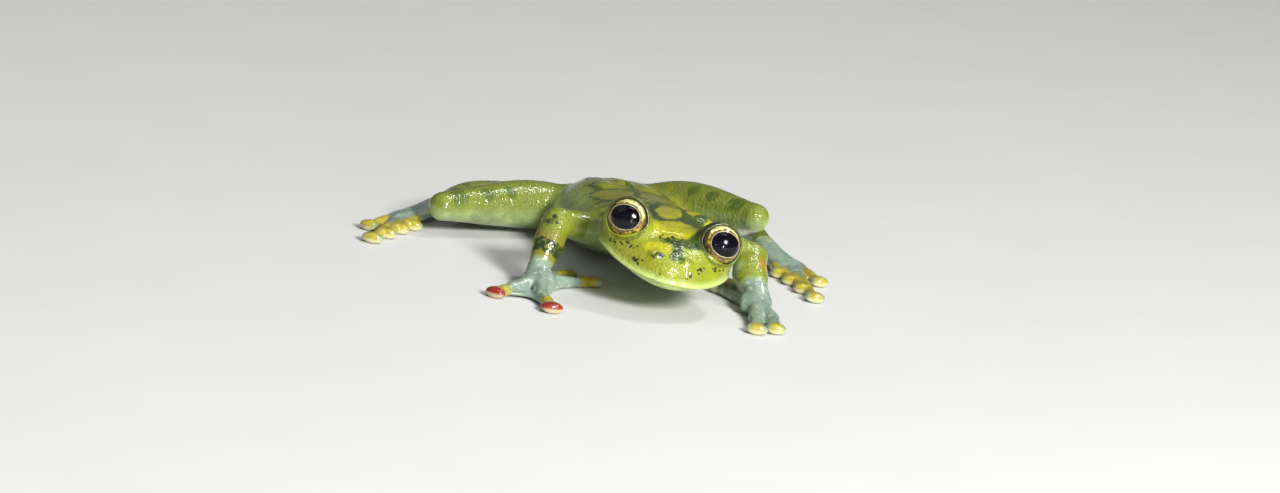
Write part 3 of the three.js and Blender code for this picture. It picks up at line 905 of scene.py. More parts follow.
yellow = np.zeros(len(skin_points))
near_head = smooth_step(ahead, -7.0, -5.6) * (ahead < 4)
crown = near_head * smooth_step(height, 0.0, 0.7) * (1 - on_leg)
rough_place = across + ragged * 0.4, ahead + ragged * 0.4
for spot in CROWN_SPOTS:
    yellow = np.maximum(yellow, crown * spot_mask(*rough_place, *spot))
snout_yellow = on_head * spot_mask(*rough_place, *SNOUT_YELLOW, soft=0.4)
spots = np.array(scattered_spots(BACK_LOW, BACK_HIGH, SPOT_SPACING, SPOT_TRIES))
ragged_place = np.stack([px + 0.5 * ragged, py + 0.5 * ragged], 1)
to_spots = np.sort(np.linalg.norm(ragged_place[:, None] - spots[None], axis=2), axis=1)
cell_inside = smooth_step(to_spots[:, 1] - to_spots[:, 0], 0.2, 0.75)
back_spots = (1 - crown) * on_back * cell_inside
print(len(CROWN_SPOTS), "spots placed on the crown and", len(spots), "scattered on the back")

# %% [markdown]
# ## The dark net
# Dark green runs between the spots of head and back. A net drawn for itself might cross a spot
# or miss its rim, so it is simply what the spots leave over. It breaks up into a patch on the
# snout, and that patch is made of listed ovals.

# %% The dark net
SNOUT_PATCHES = (
    # middle (across, ahead), half length, half width, turn in degrees
    ((0.45, 1.0), 1.25, 0.42, -10),
    ((0.28, 1.8), 0.95, 0.36, 90),
    ((0.3, 2.5), 0.5, 0.4, 0),
    ((1.5, 0.65), 0.45, 0.35, 60),
    ((-0.78, 2.67), 0.32, 0.17, -18),
)
behind_brow = 1 - smooth_step(ahead - 0.25 * across, 0.3, 0.9)
crown_net = crown * behind_brow * (1 - smooth_step(np.abs(across), 2.1, 2.9))
patches = np.maximum.reduce([spot_mask(across, ahead, *patch) for patch in SNOUT_PATCHES])
snout_net = on_head * smooth_step(height, -0.2, 0.2) * patches
on_neck = on_back * (1 - on_head) * (1 - on_leg)
net = np.maximum(crown_net, 0.75 * on_neck * (1 - back_spots)) * (1 - yellow)
print("the net covers", round(float((net > 0.5).mean()) * 100), "% of the skin")

# %% [markdown]
# ## Blotches on the legs
# The folded hind legs carry dark blotches on the side that shows. An oval drawn in plan view is
# right for the nearly level shank, but it would smear down the steep side of the thigh. There
# each blotch is a ball instead, and the skin is dark where it runs through the ball.

# %% Blotches on the legs
THIGH_SPOTS = ((0.16, 0.45), (0.44, 0.45), (0.8, 0.6))  # place from mid thigh to knee, and size
CALF_SPOTS = (0.25, 0.65)  # places from knee to calf
SPOTTED_SIDE = {"right": np.array([-0.2, -0.7, 0.7]), "left": np.array([-0.5, -0.3, 0.8])}
leg_spots = np.zeros(len(skin_points))
for side in SIDES:
    leg = LEG[side]
    for t, size in THIGH_SPOTS:
        thickness = 1.5 - 0.65 * t
        place = between(leg["thigh_middle"], leg["knee"], t) + thickness * SPOTTED_SIDE[side]
        away = away_from(place) + 0.4 * ragged
        leg_spots = np.maximum(leg_spots, 1 - smooth_step(away, 0.5 * size, 1.5 * size))
    for t in CALF_SPOTS:
        place = between(leg["knee"], leg["calf"], t)[:2]
        spot = spot_mask(px, py, place, 0.45, 0.4, soft=0.7) * on_top * 0.8
        leg_spots = np.maximum(leg_spots, spot)
    near, t = on_limb(leg["heel"], leg["ankle"], 0.85)
    leg_spots = np.maximum(leg_spots, 0.85 * near * on_top * smooth_step(t, 0.35, 0.7))
leg_spots = leg_spots * on_leg
print("blotches on", int((leg_spots > 0.5).sum()), "points")

# %% [markdown]
# ## Lids and specks
# A dark line rims each eye, and the lid behind it is brown above. Fine black specks lie in trails
# under the eyes, on the cheeks and round the snout's patch. Specks from a texture would lie
# everywhere alike, so each trail is a line with seeded scatter round it.

# %% Lids
lid = np.zeros(len(skin_points))
eye_rim = np.zeros(len(skin_points))
for side in SIDES:
    off = skin_points - eye_centre(side)
    axis = eye_axis(side)
    forward = off @ axis
    out = np.sqrt(np.maximum((off**2).sum(1) - forward**2, 0))
    upper = smooth_step(off[:, 2], -0.2, 0.8)
    rim = (1 - smooth_step(np.abs(out - 1.2), 0.1, 0.24)) * smooth_step(forward, 0.15, 0.35)
    eye_rim = np.maximum(eye_rim, rim * (0.55 + 0.45 * upper))
    close = 1 - smooth_step(np.linalg.norm(off, axis=1), 1.44, 1.62)
    lid = np.maximum(lid, close * smooth_step(-forward, -0.42, -0.1) * upper * 0.65)
print("lids rimmed")


# %% Trails of specks
def speck_trail(start, end, count, spread):
    """Places of dark specks scattered along a line in the head's frame."""
    t = np.sort(rng.uniform(0, 1, count))[:, None]
    places = np.asarray(start) * (1 - t) + np.asarray(end) * t
    return places + rng.normal(0, spread, places.shape)


SPECK_TRAILS = (
    # from and to (across, ahead, height), how many, and their scatter
    ((-3.5, 0.7, -0.2), (-2.9, 1.35, -0.12), 10, 0.1),  # under the right eye
    ((-2.75, 1.4, 0.0), (-2.1, 1.85, 0.05), 9, 0.09),
    ((-2.2, 2.35, -0.42), (-1.7, 2.72, -0.56), 10, 0.1),  # on the right cheek
    ((1.1, 3.08, -0.69), (1.45, 2.75, -0.35), 6, 0.06),  # on the left cheek
    ((1.65, 2.5, -0.2), (2.2, 1.85, 0.05), 9, 0.08),
    ((2.45, 1.7, -0.05), (3.35, 0.85, -0.1), 8, 0.09),  # under the left eye
    ((-0.47, 3.31, -0.78), (-0.47, 3.31, -0.78), 1, 0.0),  # single ones on the snout
    ((0.41, 3.32, -0.78), (0.41, 3.32, -0.78), 1, 0.0),
    ((-1.13, 2.71, 0.0), (-1.13, 2.71, 0.0), 1, 0.0),
    ((-0.7, 1.2, 0.8), (1.6, 0.85, 0.85), 44, 0.2),  # round the dark patch of the snout
    ((0.25, 1.2, 0.8), (0.3, 2.7, 0.2), 40, 0.2),
    ((-1.05, 2.75, 0.1), (-0.55, 2.6, 0.2), 8, 0.07),
    ((-1.2, 0.95, 0.95), (0.75, 0.35, 1.0), 16, 0.1),  # along the large blotch
)
specks = np.zeros(len(skin_points))
face = np.flatnonzero((on_head > 0.5) & (ahead > -0.8))
face_places = np.stack([across, ahead, height], 1)[face]
for trail in SPECK_TRAILS:
    for place in speck_trail(*trail):
        size = rng.uniform(0.045, 0.085)
        root = face_places[np.linalg.norm(face_places - place, axis=1).argmin()]
        away = np.linalg.norm(face_places - root, axis=1)
        mask = 1 - smooth_step(away, size * 0.7, size * 1.3)
        specks[face] = np.maximum(specks[face], mask)
print("specks on", int((specks > 0.5).sum()), "points")

# %% [markdown]
# ## Colours of hands and feet
# Hands, feet and the lower limbs are blue-grey, and the digits turn ochre yellow farther out. Two
# fingers of the right hand end in red, and every pad is pale where it presses on the floor. One
# loop over hands and feet gives them all, from how far out a point lies on its digit.

# %% Blue, ochre, red and pale places
OCHRE_FROM = {  # how far out on the digits the yellow begins
    ("right", "foot"): 0.5, ("left", "foot"): 0.5,
    ("right", "hand"): 0.62, ("left", "hand"): 0.8,
}
OUTER_DIGIT = 2  # the first of the two with a red pad
blue, ochre, red, tip = (np.zeros(len(skin_points)) for _ in range(4))
for (side, kind), (near, out, which) in fans.items():
    skin_near = 1 - smooth_step(near, 1.1, 1.6)
    low = 1 - smooth_step(pz, 1.0, 1.7)
    blue = np.maximum(blue, skin_near * low)
    digit = 1 - smooth_step(near, 0.35, 0.62)
    start = OCHRE_FROM[side, kind]
    ochre = np.maximum(ochre, digit * smooth_step(out + ragged * 0.2, start, start + 0.16) * low)
    if (side, kind) == ("right", "hand"):
        outer = (which >= OUTER_DIGIT) * smooth_step(out, 0.93, 0.965)
        red = np.maximum(red, outer * skin_near * low)
    under = smooth_step(out, 0.975, 1.0) * smooth_step(0.4 - pz, 0.0, 0.2)
    tip = np.maximum(tip, skin_near * low * under)
for side in SIDES:
    arm = ARM[side]
    near, t = on_limb(arm["elbow"], arm["wrist"], 1.15)
    blue = np.maximum(blue, near * smooth_step(t, 0.55, 1.05))
    leg = LEG[side]
    near, t = on_limb(leg["heel"], leg["ankle"], 1.0)
    blue = np.maximum(blue, 0.75 * near)
print("yellow digits on", int((ochre > 0.5).sum()), "points")

# %% [markdown]
# ## Marks of the arms, and the lip
# The forearms differ: the left one glows orange below its elbow, and the right one has a tan
# stretch, deepened in part as painted shade, a dark band, and a dark spot near the elbow. The
# lip is paler than the face above it.
# Like the other marks these are worked out from the joints, so they would move along with them.

# %% Marks of the arms, and the lip
glow_away = away_from(np.add(ARM["left"]["elbow"], (0.3, -1.5, -0.1)))
orange = 0.8 * (1 - smooth_step(glow_away, 0.1, 1.05))
near, t = on_limb(ARM["right"]["elbow"], ARM["right"]["wrist"], 1.2)
band = near * smooth_step(t, 0.42, 0.5) * (1 - smooth_step(t, 0.7, 0.78))
band = band * smooth_step(-normals[:, 1], -0.2, 0.3)
dark_away = away_from(np.add(ARM["right"]["elbow"], (-0.5, -0.7, 0.22)))
band = np.maximum(band, 1 - smooth_step(dark_away, 0.3, 0.7))
# The tan stretch of the right forearm: its own colour, deepened in part as painted shade.
tan_and_shade = near * smooth_step(t, 0.12, 0.4) * (1 - smooth_step(t, 0.75, 0.9))
above_jaw = smooth_step(height - jaw_line(ahead) + 0.1 * ragged, -0.05, 0.45)
lip = on_head * (1 - above_jaw) * smooth_step(ahead, -3.4, -2.2)
grain = np.maximum.reduce([dorsal, 0.45 * on_arm, 0.3 * lip])
grain = np.clip(grain * (1 - 0.85 * eye_rim) * (1 - blue), 0.05, 1)
print("grainy skin on", int((grain > 0.5).sum()), "points")

# %% [markdown]
# ## Grains pushed out, and masks kept
# Now the points move outward by their grains, and the mesh object is made. Attributes on its
# points carry the masks. A texture would need an unwrap, and seams would cut through the marks.

# %% Grains pushed out, and masks kept on the mesh
GRAIN_SPACING, GRAIN_HEIGHT = 0.2, 0.02  # mm
dome = np.clip(1 - nearest_cells(skin_points, GRAIN_SPACING, 5) / 0.62, 0, 1)
not_in_socket = np.ones(len(skin_points))
for side in SIDES:
    eye_away = away_from(eye_centre(side))
    not_in_socket *= smooth_step(eye_away, EYE_RADIUS + 0.05, EYE_RADIUS + 0.16)
push = GRAIN_HEIGHT * grain * not_in_socket * smooth_step(pz, 0.05, 0.4) * (dome - 0.3)
skin = mesh_object("frog_skin", skin_points + push[:, None] * normals, skin_quads.tolist())
MASKS = {
    "dorsal": dorsal, "yellow": yellow, "snout_yellow": snout_yellow, "back_spots": back_spots,
    "net": net, "snout_net": snout_net, "leg_spots": leg_spots, "lid": lid, "eye_rim": eye_rim,
    "specks": specks, "blue": blue, "ochre": ochre, "orange": orange, "red": red,
    "band": band, "tan_and_shade": tan_and_shade, "lip": lip, "tip": tip, "grain": grain,
    "limb": np.maximum(on_leg, 0.8 * on_arm),
}
for name, mask in MASKS.items():
    layer = skin.data.attributes.new(name, "FLOAT", "POINT")
    layer.data.foreach_set("value", np.asarray(mask, np.float32))
print("skin with", len(skin.data.polygons), "faces and", len(MASKS), "masks")

# %% [markdown]
# ## A small set of node tools
# Materials are trees of nodes, and building them by hand in the node editor is slow to repeat.
# This class keeps one short word for each kind of node that the frog's materials need.

# %% Node tools
class Finish:
    """A material and short ways to add its nodes."""

    def __init__(self, name):
        self.material = bpy.data.materials.new(name)
        self.material.use_nodes = True
        self.tree = self.material.node_tree
        self.shader = self.tree.nodes["Principled BSDF"]
        self.place = self.node("ShaderNodeTexCoord").outputs["Object"]

    def node(self, kind, **settings):
        made = self.tree.nodes.new(kind)
        for key, value in settings.items():
            setattr(made, key, value)
        return made

    def feed(self, value, socket):
        """Links another node's output to a socket, or sets the socket's own value."""
        if isinstance(value, bpy.types.NodeSocket):
            self.tree.links.new(value, socket)
        elif isinstance(value, tuple):
            needs_alpha = len(value) == 3 and socket.type == "RGBA"
            socket.default_value = (*value, 1) if needs_alpha else value
        else:
            socket.default_value = value

    def mask(self, name):
        return self.node("ShaderNodeAttribute", attribute_name=name).outputs["Fac"]

    def math(self, operation, a, b=0.0, c=0.0):
        made = self.node("ShaderNodeMath", operation=operation)
        for value, socket in zip((a, b, c), made.inputs):
            self.feed(value, socket)
        return made.outputs[0]

    def noise(self, size, detail=3.0, rough=0.6):
        """Noise whose lumps are about this many millimetres across."""
        made = self.node("ShaderNodeTexNoise")
        self.feed(self.place, made.inputs["Vector"])
        made.inputs["Scale"].default_value = 1 / (size * MM)
        made.inputs["Detail"].default_value = detail
        made.inputs["Roughness"].default_value = rough
        return made.outputs["Fac"]

    def cells(self, size, feature="F1"):
        """Distance to the nearest of scattered cells of about this many millimetres."""
        made = self.node("ShaderNodeTexVoronoi", feature=feature)
        self.feed(self.place, made.inputs["Vector"])
        made.inputs["Scale"].default_value = 1 / (size * MM)
        return made.outputs["Distance"]

    def step(self, value, low, high):
        made = self.node("ShaderNodeMapRange", interpolation_type="SMOOTHSTEP")
        for given, socket in zip((value, low, high, 0.0, 1.0), made.inputs):
            self.feed(given, socket)
        return made.outputs[0]

    def blend(self, share, under, over, strength=1.0):
        """Lays one colour over another, up to a strength."""
        if strength < 1:
            share = self.math("MULTIPLY", share, strength)
        made = self.node("ShaderNodeMix", data_type="RGBA")
        self.feed(share, made.inputs[0])
        self.feed(under, made.inputs[6])
        self.feed(over, made.inputs[7])
        return made.outputs[2]

    def bumped(self, height, strength, depth):
        """A bump whose full height is this many millimetres."""
        made = self.node("ShaderNodeBump")
        made.inputs["Strength"].default_value = strength
        made.inputs["Distance"].default_value = depth * MM
        self.feed(height, made.inputs["Height"])
        return made.outputs["Normal"]

    def set(self, **values):
        for name, value in values.items():
            self.feed(value, self.shader.inputs[name.replace("_", " ")])


# %% [markdown]
# ## Colours of the skin
# Each colour stands for one layer of the skin and is given in linear light, as the shader wants
# it. Most come in pairs, a tone and a darker one, so that noise can mix the two. One flat colour
# would look like paint.

# %% Colours of the skin
FLESH, FLESH_SHADE = (0.29, 0.37, 0.14), (0.18, 0.24, 0.09)
BLUE_GREY, BLUE_SHADE = (0.21, 0.28, 0.22), (0.11, 0.165, 0.13)
# Pale mottling of hands and feet: paler skin mixed with painted wet sheen.
PALE_AND_SHEEN = (0.40, 0.46, 0.36)
YELLOW_GREEN, LIME = (0.235, 0.26, 0.010), (0.16, 0.21, 0.010)
# Of the next two, the second is the back spots' own yellow, darkened in part as painted shade.
OLIVE, BACK_YELLOW_SHADED = (0.125, 0.155, 0.015), (0.19, 0.20, 0.007)
SPOT_YELLOW, SPOT_WARM = (0.36, 0.33, 0.005), (0.28, 0.29, 0.006)
NET_GREEN, NET_DARK = (0.042, 0.078, 0.003), (0.011, 0.026, 0.002)
PATCH_GREEN = (0.04, 0.10, 0.002)
OCHRE, OCHRE_DEEP = (0.38, 0.34, 0.012), (0.25, 0.17, 0.008)
# The last of the next three, the forearm's tan, is deepened in part as painted shade.
RED, ORANGE, TAN_AND_SHADE = (0.21, 0.014, 0.006), (0.40, 0.17, 0.01), (0.15, 0.14, 0.012)
LIP_PALE, TIP_PALE = (0.38, 0.47, 0.13), (0.55, 0.53, 0.32)
SPECK, LID_BROWN = (0.010, 0.016, 0.005), (0.022, 0.018, 0.004)
print("colours mixed")

# %% [markdown]
# ## The skin's material
# Wet skin is a soft, slightly see-through body colour under a thin, clear film of water. One
# colour with a gloss would look like plastic. So the body colour is laid on in layers, from pale
# flesh up to the darkest specks, and every edge is frayed by fine noise, because pigment cells
# are tiny stars, not paint. Light scatters a little below the surface. The film is the shader's
# coat. It spans the finest grains, so it has a broader bump of its own, which breaks its
# highlights into sparkles.

# %% Wet skin
def wet_skin():
    f = Finish("wet_frog_skin")
    broad, fine, star = f.noise(0.9), f.noise(0.22, 4.0, 0.7), f.cells(0.13)
    fray = f.math("MULTIPLY_ADD", fine, 0.9, -0.45)

    def frayed(name, low=0.35, high=0.65, amount=1.0):
        moved = f.math("MULTIPLY_ADD", fray, amount, f.mask(name))
        return f.step(moved, low, high)

    colour = f.blend(f.step(broad, 0.3, 0.7), FLESH, FLESH_SHADE)
    blue_tone = f.blend(f.step(f.noise(0.7), 0.2, 0.8), BLUE_GREY, BLUE_SHADE)
    # Pale patches on the blue-grey: partly paler skin, partly painted wet sheen.
    blue_tone = f.blend(f.step(f.noise(0.35, 4.0), 0.52, 0.72), blue_tone, PALE_AND_SHEEN)
    colour = f.blend(frayed("blue", 0.05, 1.0, 0.5), colour, blue_tone)
    green = f.blend(f.step(broad, 0.25, 0.75), YELLOW_GREEN, LIME)
    green = f.blend(f.mask("limb"), green, OLIVE, 0.85)
    colour = f.blend(frayed("dorsal", 0.05, 0.95, 0.4), colour, green)
    # The back's spots are dimmer than the crown's: their own yellow, darkened in part as painted
    # shade.
    colour = f.blend(frayed("back_spots", 0.2, 0.8, 0.8), colour, BACK_YELLOW_SHADED)
    spot = f.blend(f.step(fine, 0.3, 0.7), SPOT_YELLOW, SPOT_WARM)
    colour = f.blend(frayed("yellow", 0.3, 0.7, 0.6), colour, spot)
    colour = f.blend(frayed("snout_yellow", 0.2, 0.9, 0.6), colour, spot)
    net_tone = f.blend(f.step(star, 0.2, 0.55), NET_DARK, NET_GREEN)
    colour = f.blend(frayed("net", 0.2, 0.9, 1.1), colour, net_tone)
    grainy = f.math("MULTIPLY_ADD", star, -1.0, f.mask("snout_net"))
    colour = f.blend(frayed("snout_net", 0.1, 0.9, 1.4), colour, PATCH_GREEN, 0.7)
    grainy = f.math("MULTIPLY_ADD", fray, 0.8, grainy)
    colour = f.blend(f.step(grainy, 0.35, 0.6), colour, NET_DARK)
    colour = f.blend(frayed("leg_spots", 0.15, 1.0, 0.9), colour, NET_GREEN, 0.85)
    # Tan of the right forearm: its own colour, deepened in part as painted shade.
    colour = f.blend(f.mask("tan_and_shade"), colour, TAN_AND_SHADE, 0.85)
    dotted = f.math("MULTIPLY_ADD", f.cells(0.3), -0.8, f.mask("band"))
    colour = f.blend(f.step(dotted, 0.3, 0.65), colour, NET_DARK)
    ochre_tone = f.blend(f.step(fine, 0.3, 0.75), OCHRE, OCHRE_DEEP)
    colour = f.blend(frayed("ochre", 0.0, 1.0, 0.9), colour, ochre_tone, 0.92)
    colour = f.blend(frayed("orange", 0.0, 1.1, 1.0), colour, ORANGE, 0.8)
    colour = f.blend(frayed("red", 0.35, 0.65, 0.3), colour, RED)
    colour = f.blend(f.mask("lip"), colour, LIP_PALE, 0.85)
    colour = f.blend(f.mask("tip"), colour, TIP_PALE, 0.7)
    colour = f.blend(f.step(f.mask("specks"), 0.3, 0.6), colour, SPECK)
    colour = f.blend(frayed("lid", 0.3, 0.7), colour, LID_BROWN, 0.85)
    colour = f.blend(frayed("eye_rim", 0.35, 0.7, 0.5), colour, LID_BROWN, 0.9)
    f.set(Base_Color=colour, Roughness=f.math("MULTIPLY_ADD", fine, 0.22, 0.26))
    f.set(Subsurface_Weight=0.4, Subsurface_Radius=(1.0, 0.85, 0.3), Subsurface_Scale=0.5 * MM)
    f.set(IOR=1.4, Specular_IOR_Level=0.3)
    f.set(Coat_Weight=1.0, Coat_Roughness=0.045, Coat_IOR=1.4)
    grains = f.math("SUBTRACT", 0.6, f.cells(0.12, "SMOOTH_F1"))
    grains = f.math("MULTIPLY", grains, f.mask("grain"))
    ripple = f.math("MULTIPLY_ADD", f.noise(0.06, 2.0), 0.15, grains)
    f.set(Normal=f.bumped(ripple, 0.7, 0.09))
    rough_film = f.math("MULTIPLY_ADD", f.mask("grain"), 0.7, 0.3)
    film = f.math("MULTIPLY", f.noise(0.24, 2.0, 0.5), rough_film)
    f.feed(f.bumped(film, 0.6, 0.10), f.shader.inputs["Coat Normal"])
    return f.material


skin.data.materials.append(wet_skin())
FLESH_NODES = [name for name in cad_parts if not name.endswith("_eye")]
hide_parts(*FLESH_NODES)
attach(skin, "root")
print("the skin replaces", len(FLESH_NODES), "solids")

# %% [markdown]
# ## The eyes
# The eyes make the portrait. Behind a clear, domed cornea lies the iris, a gold dish with a
# black, slightly wide pupil at its middle. A painted ball would look flat from the side, so the
# iris is a dish of its own inside a ball of clear cornea, and the pupil is a real opening.

# %% Sizes of iris and pupil
PUPIL_WIDE, PUPIL_HIGH = 0.88, 0.70  # half sizes, mm
IRIS_BALL = 1.15  # mm
IRIS_RINGS, IRIS_STEPS = 72, 192
BACK_SHARE, IRIS_SHARE, PUPIL_SHARE = 0.4, 0.5, 0.1  # of the rings
PUPIL_RING = math.ceil((BACK_SHARE + IRIS_SHARE) * IRIS_RINGS)  # the first of the pupil's wall
IRIS_EDGE = math.radians(78)  # from the eye's axis to where the iris begins
PUPIL_TURN, PUPIL_LIFT = math.radians(22), math.radians(18)
IRIS_LEVEL = 0.78  # mm from the eye's centre to the flat of the iris
FOLD_HEIGHT, COLLAR_HEIGHT = 0.012, 0.03  # mm
PUPIL_LEVEL, PUPIL_DEPTH = 0.74, 0.5  # mm


def eye_frame(side):
    """Three directions of an eye as it looks outward: right, up and ahead."""
    look = facing(SIDES[side] * PUPIL_TURN - HEAD_TURN, PUPIL_LIFT)
    level = in_head(1.0, 0.0, 0.0) - in_head(0.0, 0.0, 0.0)
    high = np.cross(look, level)
    high /= np.linalg.norm(high)
    return np.cross(high, look), high, look


def turns(steps):
    """Evenly spaced angles round a circle, and their points on it."""
    turn = np.linspace(0, 2 * math.pi, steps, endpoint=False)
    return turn, np.stack([np.cos(turn), np.sin(turn)], 1)


# %% Iris and pupil
def iris_points():
    """Rings from the back of the ball over the iris and into the pupil, in the eye's own frame."""
    steps = IRIS_STEPS
    rows, masks = [], []
    turn, circle = turns(steps)
    edge = circle * (PUPIL_WIDE, PUPIL_HIGH)
    edge_radius = np.linalg.norm(edge, axis=1)
    for k in range(IRIS_RINGS):
        share = k / IRIS_RINGS
        if share < BACK_SHARE:
            back = share / BACK_SHARE
            polar = math.pi * 0.98 * (1 - back) + IRIS_EDGE * back
            ring = circle * IRIS_BALL * math.sin(polar)
            rise = np.full(steps, IRIS_BALL * math.cos(polar))
            where = np.full(steps, 1.0 + (polar - IRIS_EDGE))
        elif k < PUPIL_RING:
            inward = (share - BACK_SHARE) / IRIS_SHARE
            outer = IRIS_BALL * math.sin(IRIS_EDGE)
            radius = outer + (edge_radius - outer) * inward
            ring = circle * radius[:, None]
            dome = np.sqrt(np.maximum(IRIS_BALL**2 - radius**2, 0))
            fold = FOLD_HEIGHT * np.sin(turn * 47 + 3 * np.sin(turn * 5))
            collar = COLLAR_HEIGHT * math.exp(-(((inward - 0.93) / 0.05) ** 2))
            rise = soft_min(dome, np.full(steps, IRIS_LEVEL), 0.35)
            rise = rise + fold * math.sin(math.pi * inward) + collar
            where = np.full(steps, 1 - inward)
        else:
            deep = (share - BACK_SHARE - IRIS_SHARE) / PUPIL_SHARE
            ring = edge * (1 - 0.85 * deep**2)
            rise = np.full(steps, PUPIL_LEVEL - PUPIL_DEPTH * math.sqrt(deep))
            where = np.full(steps, -deep)
        rows.append(np.column_stack([ring, rise]))
        masks.append(where)
    return np.array(rows), np.array(masks)


def ring_faces(rings, steps):
    """Quads between rings of points, closed at both ends."""
    faces = []
    for k in range(rings - 1):
        for n in range(steps):
            m = (n + 1) % steps
            faces.append((k * steps + n, k * steps + m, (k + 1) * steps + m, (k + 1) * steps + n))
    faces.append(tuple(range(steps))[::-1])
    faces.append(tuple((rings - 1) * steps + n for n in range(steps)))
    return faces


# %% [markdown]
# ## Materials of the eye
# The iris is gold, paler above, and covered with a net of dark flecks that gathers at the pupil
# and the outer rim. A fine pale ring lines the pupil. All this could be painted, but noise gives
# flecks as fine as the render can show. The pupil is as dark as can be, and the cornea is clear
# with a soft coat, so that small lights show in it as catchlights.

# %% Gold iris
def gold_iris():
    f = Finish("gold_iris")
    inward, high = f.mask("inward"), f.mask("high")
    fine, veins = f.noise(0.16, 4.0, 0.75), f.noise(0.35, 3.0, 0.7)
    gold = f.blend(f.step(fine, 0.42, 0.58), (0.27, 0.19, 0.015), (0.08, 0.045, 0.005))
    cream = f.blend(f.step(fine, 0.42, 0.6), (0.46, 0.47, 0.18), (0.24, 0.23, 0.04))
    lit = f.step(f.math("MULTIPLY_ADD", veins, 0.4, high), 0.5, 0.95)
    lit = f.math("MULTIPLY", lit, f.step(f.math("MULTIPLY_ADD", veins, 0.3, inward), 0.38, 0.6))
    colour = f.blend(lit, gold, cream)
    near_pupil = f.math("MULTIPLY", f.step(inward, 0.5, 0.2), 0.45)
    near_rim = f.math("MULTIPLY", f.step(inward, 0.65, 0.95), 0.3)
    speckled = f.math("MULTIPLY_ADD", f.noise(0.32, 3.0, 0.8), 3.0, -1.45)
    dense = f.math("ADD", speckled, f.math("ADD", near_pupil, near_rim))
    flecks = f.step(f.math("MULTIPLY_ADD", lit, -0.22, dense), 0.0, 0.2)
    colour = f.blend(flecks, colour, (0.030, 0.017, 0.005), 0.92)
    colour = f.blend(f.step(inward, 0.93, 1.03), colour, (0.03, 0.022, 0.006))
    ring = f.math("MULTIPLY", f.step(inward, 0.0, 0.03), f.step(inward, 0.13, 0.07))
    colour = f.blend(ring, colour, (0.42, 0.34, 0.17))
    f.set(Base_Color=colour, Roughness=f.math("MULTIPLY_ADD", fine, 0.3, 0.25))
    f.set(Normal=f.bumped(veins, 0.4, 0.03))
    return f.material


# %% Pupil and cornea
def deep_pupil():
    f = Finish("deep_pupil")
    f.set(Base_Color=f.blend(f.noise(0.3), (0.001, 0.001, 0.002), (0.002, 0.002, 0.004)))
    f.set(Roughness=1.0, Specular_IOR_Level=0.0)
    return f.material


def clear_cornea():
    f = Finish("clear_cornea")
    film = f.math("MULTIPLY", f.noise(0.4, 2.0), 0.01)
    f.set(Base_Color=(1.0, 1.0, 1.0), Roughness=film, IOR=1.12, Transmission_Weight=1.0)
    f.set(Coat_Weight=1.0, Coat_Roughness=0.14, Coat_IOR=1.3)
    return f.material


iris_material, pupil_material, cornea_material = gold_iris(), deep_pupil(), clear_cornea()
print("materials of the eye are mixed")

# %% [markdown]
# ## Eyes in place
# Each iris and its cornea share the centre of the eyeball's solid. The pale gold isn't the same in
# both eyes: it reaches a little lower in the left one, and leans to one side in the right one.
# The cornea casts no shadow, because the iris behind it would go dull.

# %% Eyes in place
def make_iris(side):
    rows, inward = iris_points()
    rings, steps = inward.shape
    points = rows.reshape(-1, 3) @ np.array(eye_frame(side)) + eye_centre(side)
    ball = mesh_object(side + "_iris", points, ring_faces(rings, steps))
    ball.data.materials.append(iris_material)
    ball.data.materials.append(pupil_material)
    for face in ball.data.polygons:
        face.material_index = int(face.vertices[0] // steps >= PUPIL_RING)
    high = rows[..., 1] / IRIS_BALL
    high = high + (0.15 if side == "left" else 0.35 * rows[..., 0] / IRIS_BALL)
    for name, values in (("inward", inward), ("high", high)):
        layer = ball.data.attributes.new(name, "FLOAT", "POINT")
        layer.data.foreach_set("value", values.reshape(-1).astype(np.float32))
    return ball


def make_cornea(side, rings=64, steps=128):
    """A closed ball of clear cornea, a little fuller in front."""
    polar = np.linspace(math.radians(1), math.radians(179), rings)
    fuller = EYE_RADIUS - 0.01 + 0.02 * np.exp(-((polar / 0.7) ** 2))
    _, circle = turns(steps)
    rows = []
    for p, r in zip(polar, fuller):
        rows.append(np.column_stack([circle * r * math.sin(p), np.full(steps, r * math.cos(p))]))
    points = np.array(rows[::-1]).reshape(-1, 3) @ np.array(eye_frame(side)) + eye_centre(side)
    ball = mesh_object(side + "_cornea", points, ring_faces(rings, steps))
    ball.data.materials.append(cornea_material)
    ball.visible_shadow = False
    return ball


for side in SIDES:
    iris, cornea = make_iris(side), make_cornea(side)
    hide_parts(side + "_eye")
    for piece in (iris, cornea):
        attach(piece, "root")
print("two eyes, each an iris inside a cornea")

# %% [markdown]
# ## Studio floor
# A museum shows such a model on a plain base. One large pale square does the same here, and keeps
# the frog's outline easy to read. Its colour varies only faintly.

# %% Floor
FLOOR_REACH = 1.5  # metres


def pale_floor():
    f = Finish("pale_floor")
    f.set(Base_Color=f.blend(f.noise(12.0), (0.50, 0.50, 0.48), (0.54, 0.54, 0.52)), Roughness=0.6)
    return f.material


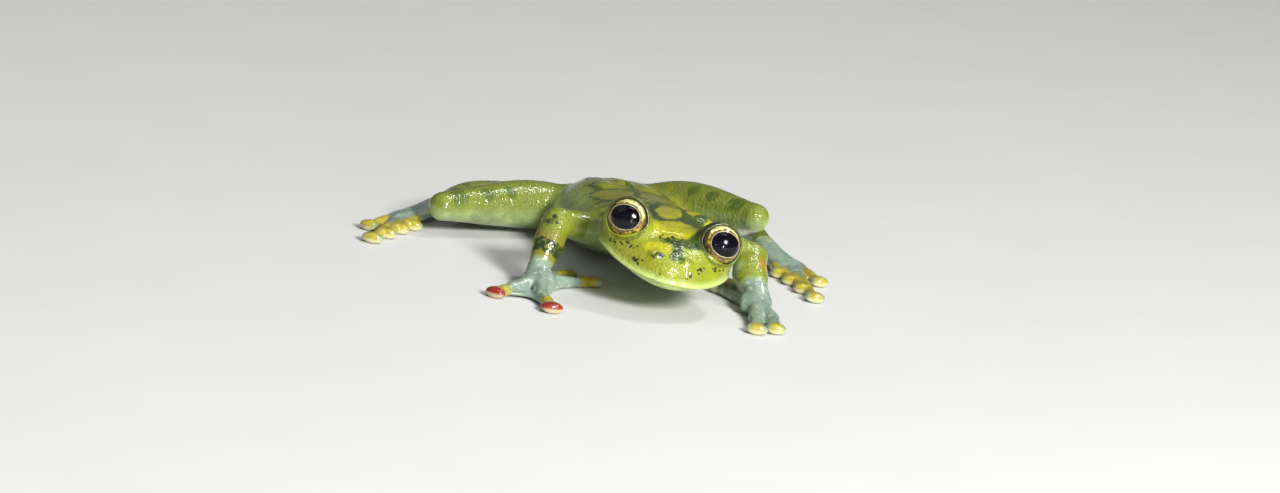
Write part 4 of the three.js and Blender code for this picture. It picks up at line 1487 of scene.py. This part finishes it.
floor_mesh = bpy.data.meshes.new("studio_floor")
corners = [(FLOOR_REACH * x, FLOOR_REACH * y, 0) for x, y in ((-1, -1), (1, -1), (1, 1), (-1, 1))]
floor_mesh.from_pydata(corners, [], [(0, 1, 2, 3)])
floor = bpy.data.objects.new("studio_floor", floor_mesh)
bpy.context.scene.collection.objects.link(floor)
floor_mesh.materials.append(pale_floor())
print("floor laid")

# %% [markdown]
# ## Lights
# Broad soft boxes alone would make wet skin look dry, because it takes a small bright light to
# make it sparkle. So one strong and fairly small box stands in front, on the frog's left, with
# two tiny ones near it for catchlights. Another small one shines from above and behind. Two broad
# boxes and a dim sky fill the shadows.

# %% Lights
WHITE, WINDOW_WHITE = (1.0, 1.0, 1.0), (0.97, 0.99, 1.0)
LIGHTS = (
    # name, turn and rise in degrees, metres away, width in metres, watts, colour
    ("sparkle", 21, 31, 0.32, 0.08, 2.0, WHITE),
    ("second_sparkle", 8, 5, 0.32, 0.035, 0.25, WHITE),
    ("third_sparkle", -33, 12, 0.32, 0.02, 0.05, WHITE),
    ("window", -95, 55, 0.5, 0.4, 0.3, WINDOW_WHITE),
    ("overhead", 60, 78, 0.5, 0.22, 0.3, WHITE),
    ("top_sparkle", 119, 57, 0.35, 0.06, 0.4, WHITE),
)
SKY_COLOUR, SKY_STRENGTH = (0.85, 0.88, 0.92, 1), 0.12
LIT_PLACE = Vector((0, 0, 0.003))  # metres


def soft_box(name, turn, rise, away, size, power, colour):
    """A square light that looks at the frog."""
    where = Vector(facing(math.radians(turn), math.radians(rise))) * away
    data = bpy.data.lights.new(name, "AREA")
    data.size, data.energy, data.color = size, power, colour
    light = bpy.data.objects.new(name, data)
    light.location = where
    light.rotation_euler = (LIT_PLACE - where).to_track_quat("-Z", "Y").to_euler()
    bpy.context.scene.collection.objects.link(light)


for light in LIGHTS:
    soft_box(*light)
world = bpy.data.worlds.new("studio")
bpy.context.scene.world = world
world.use_nodes = True
sky = world.node_tree.nodes["Background"]
sky.inputs["Color"].default_value = SKY_COLOUR
sky.inputs["Strength"].default_value = SKY_STRENGTH
bpy.context.scene.view_settings.view_transform = "Standard"
print(len(LIGHTS), "lights")
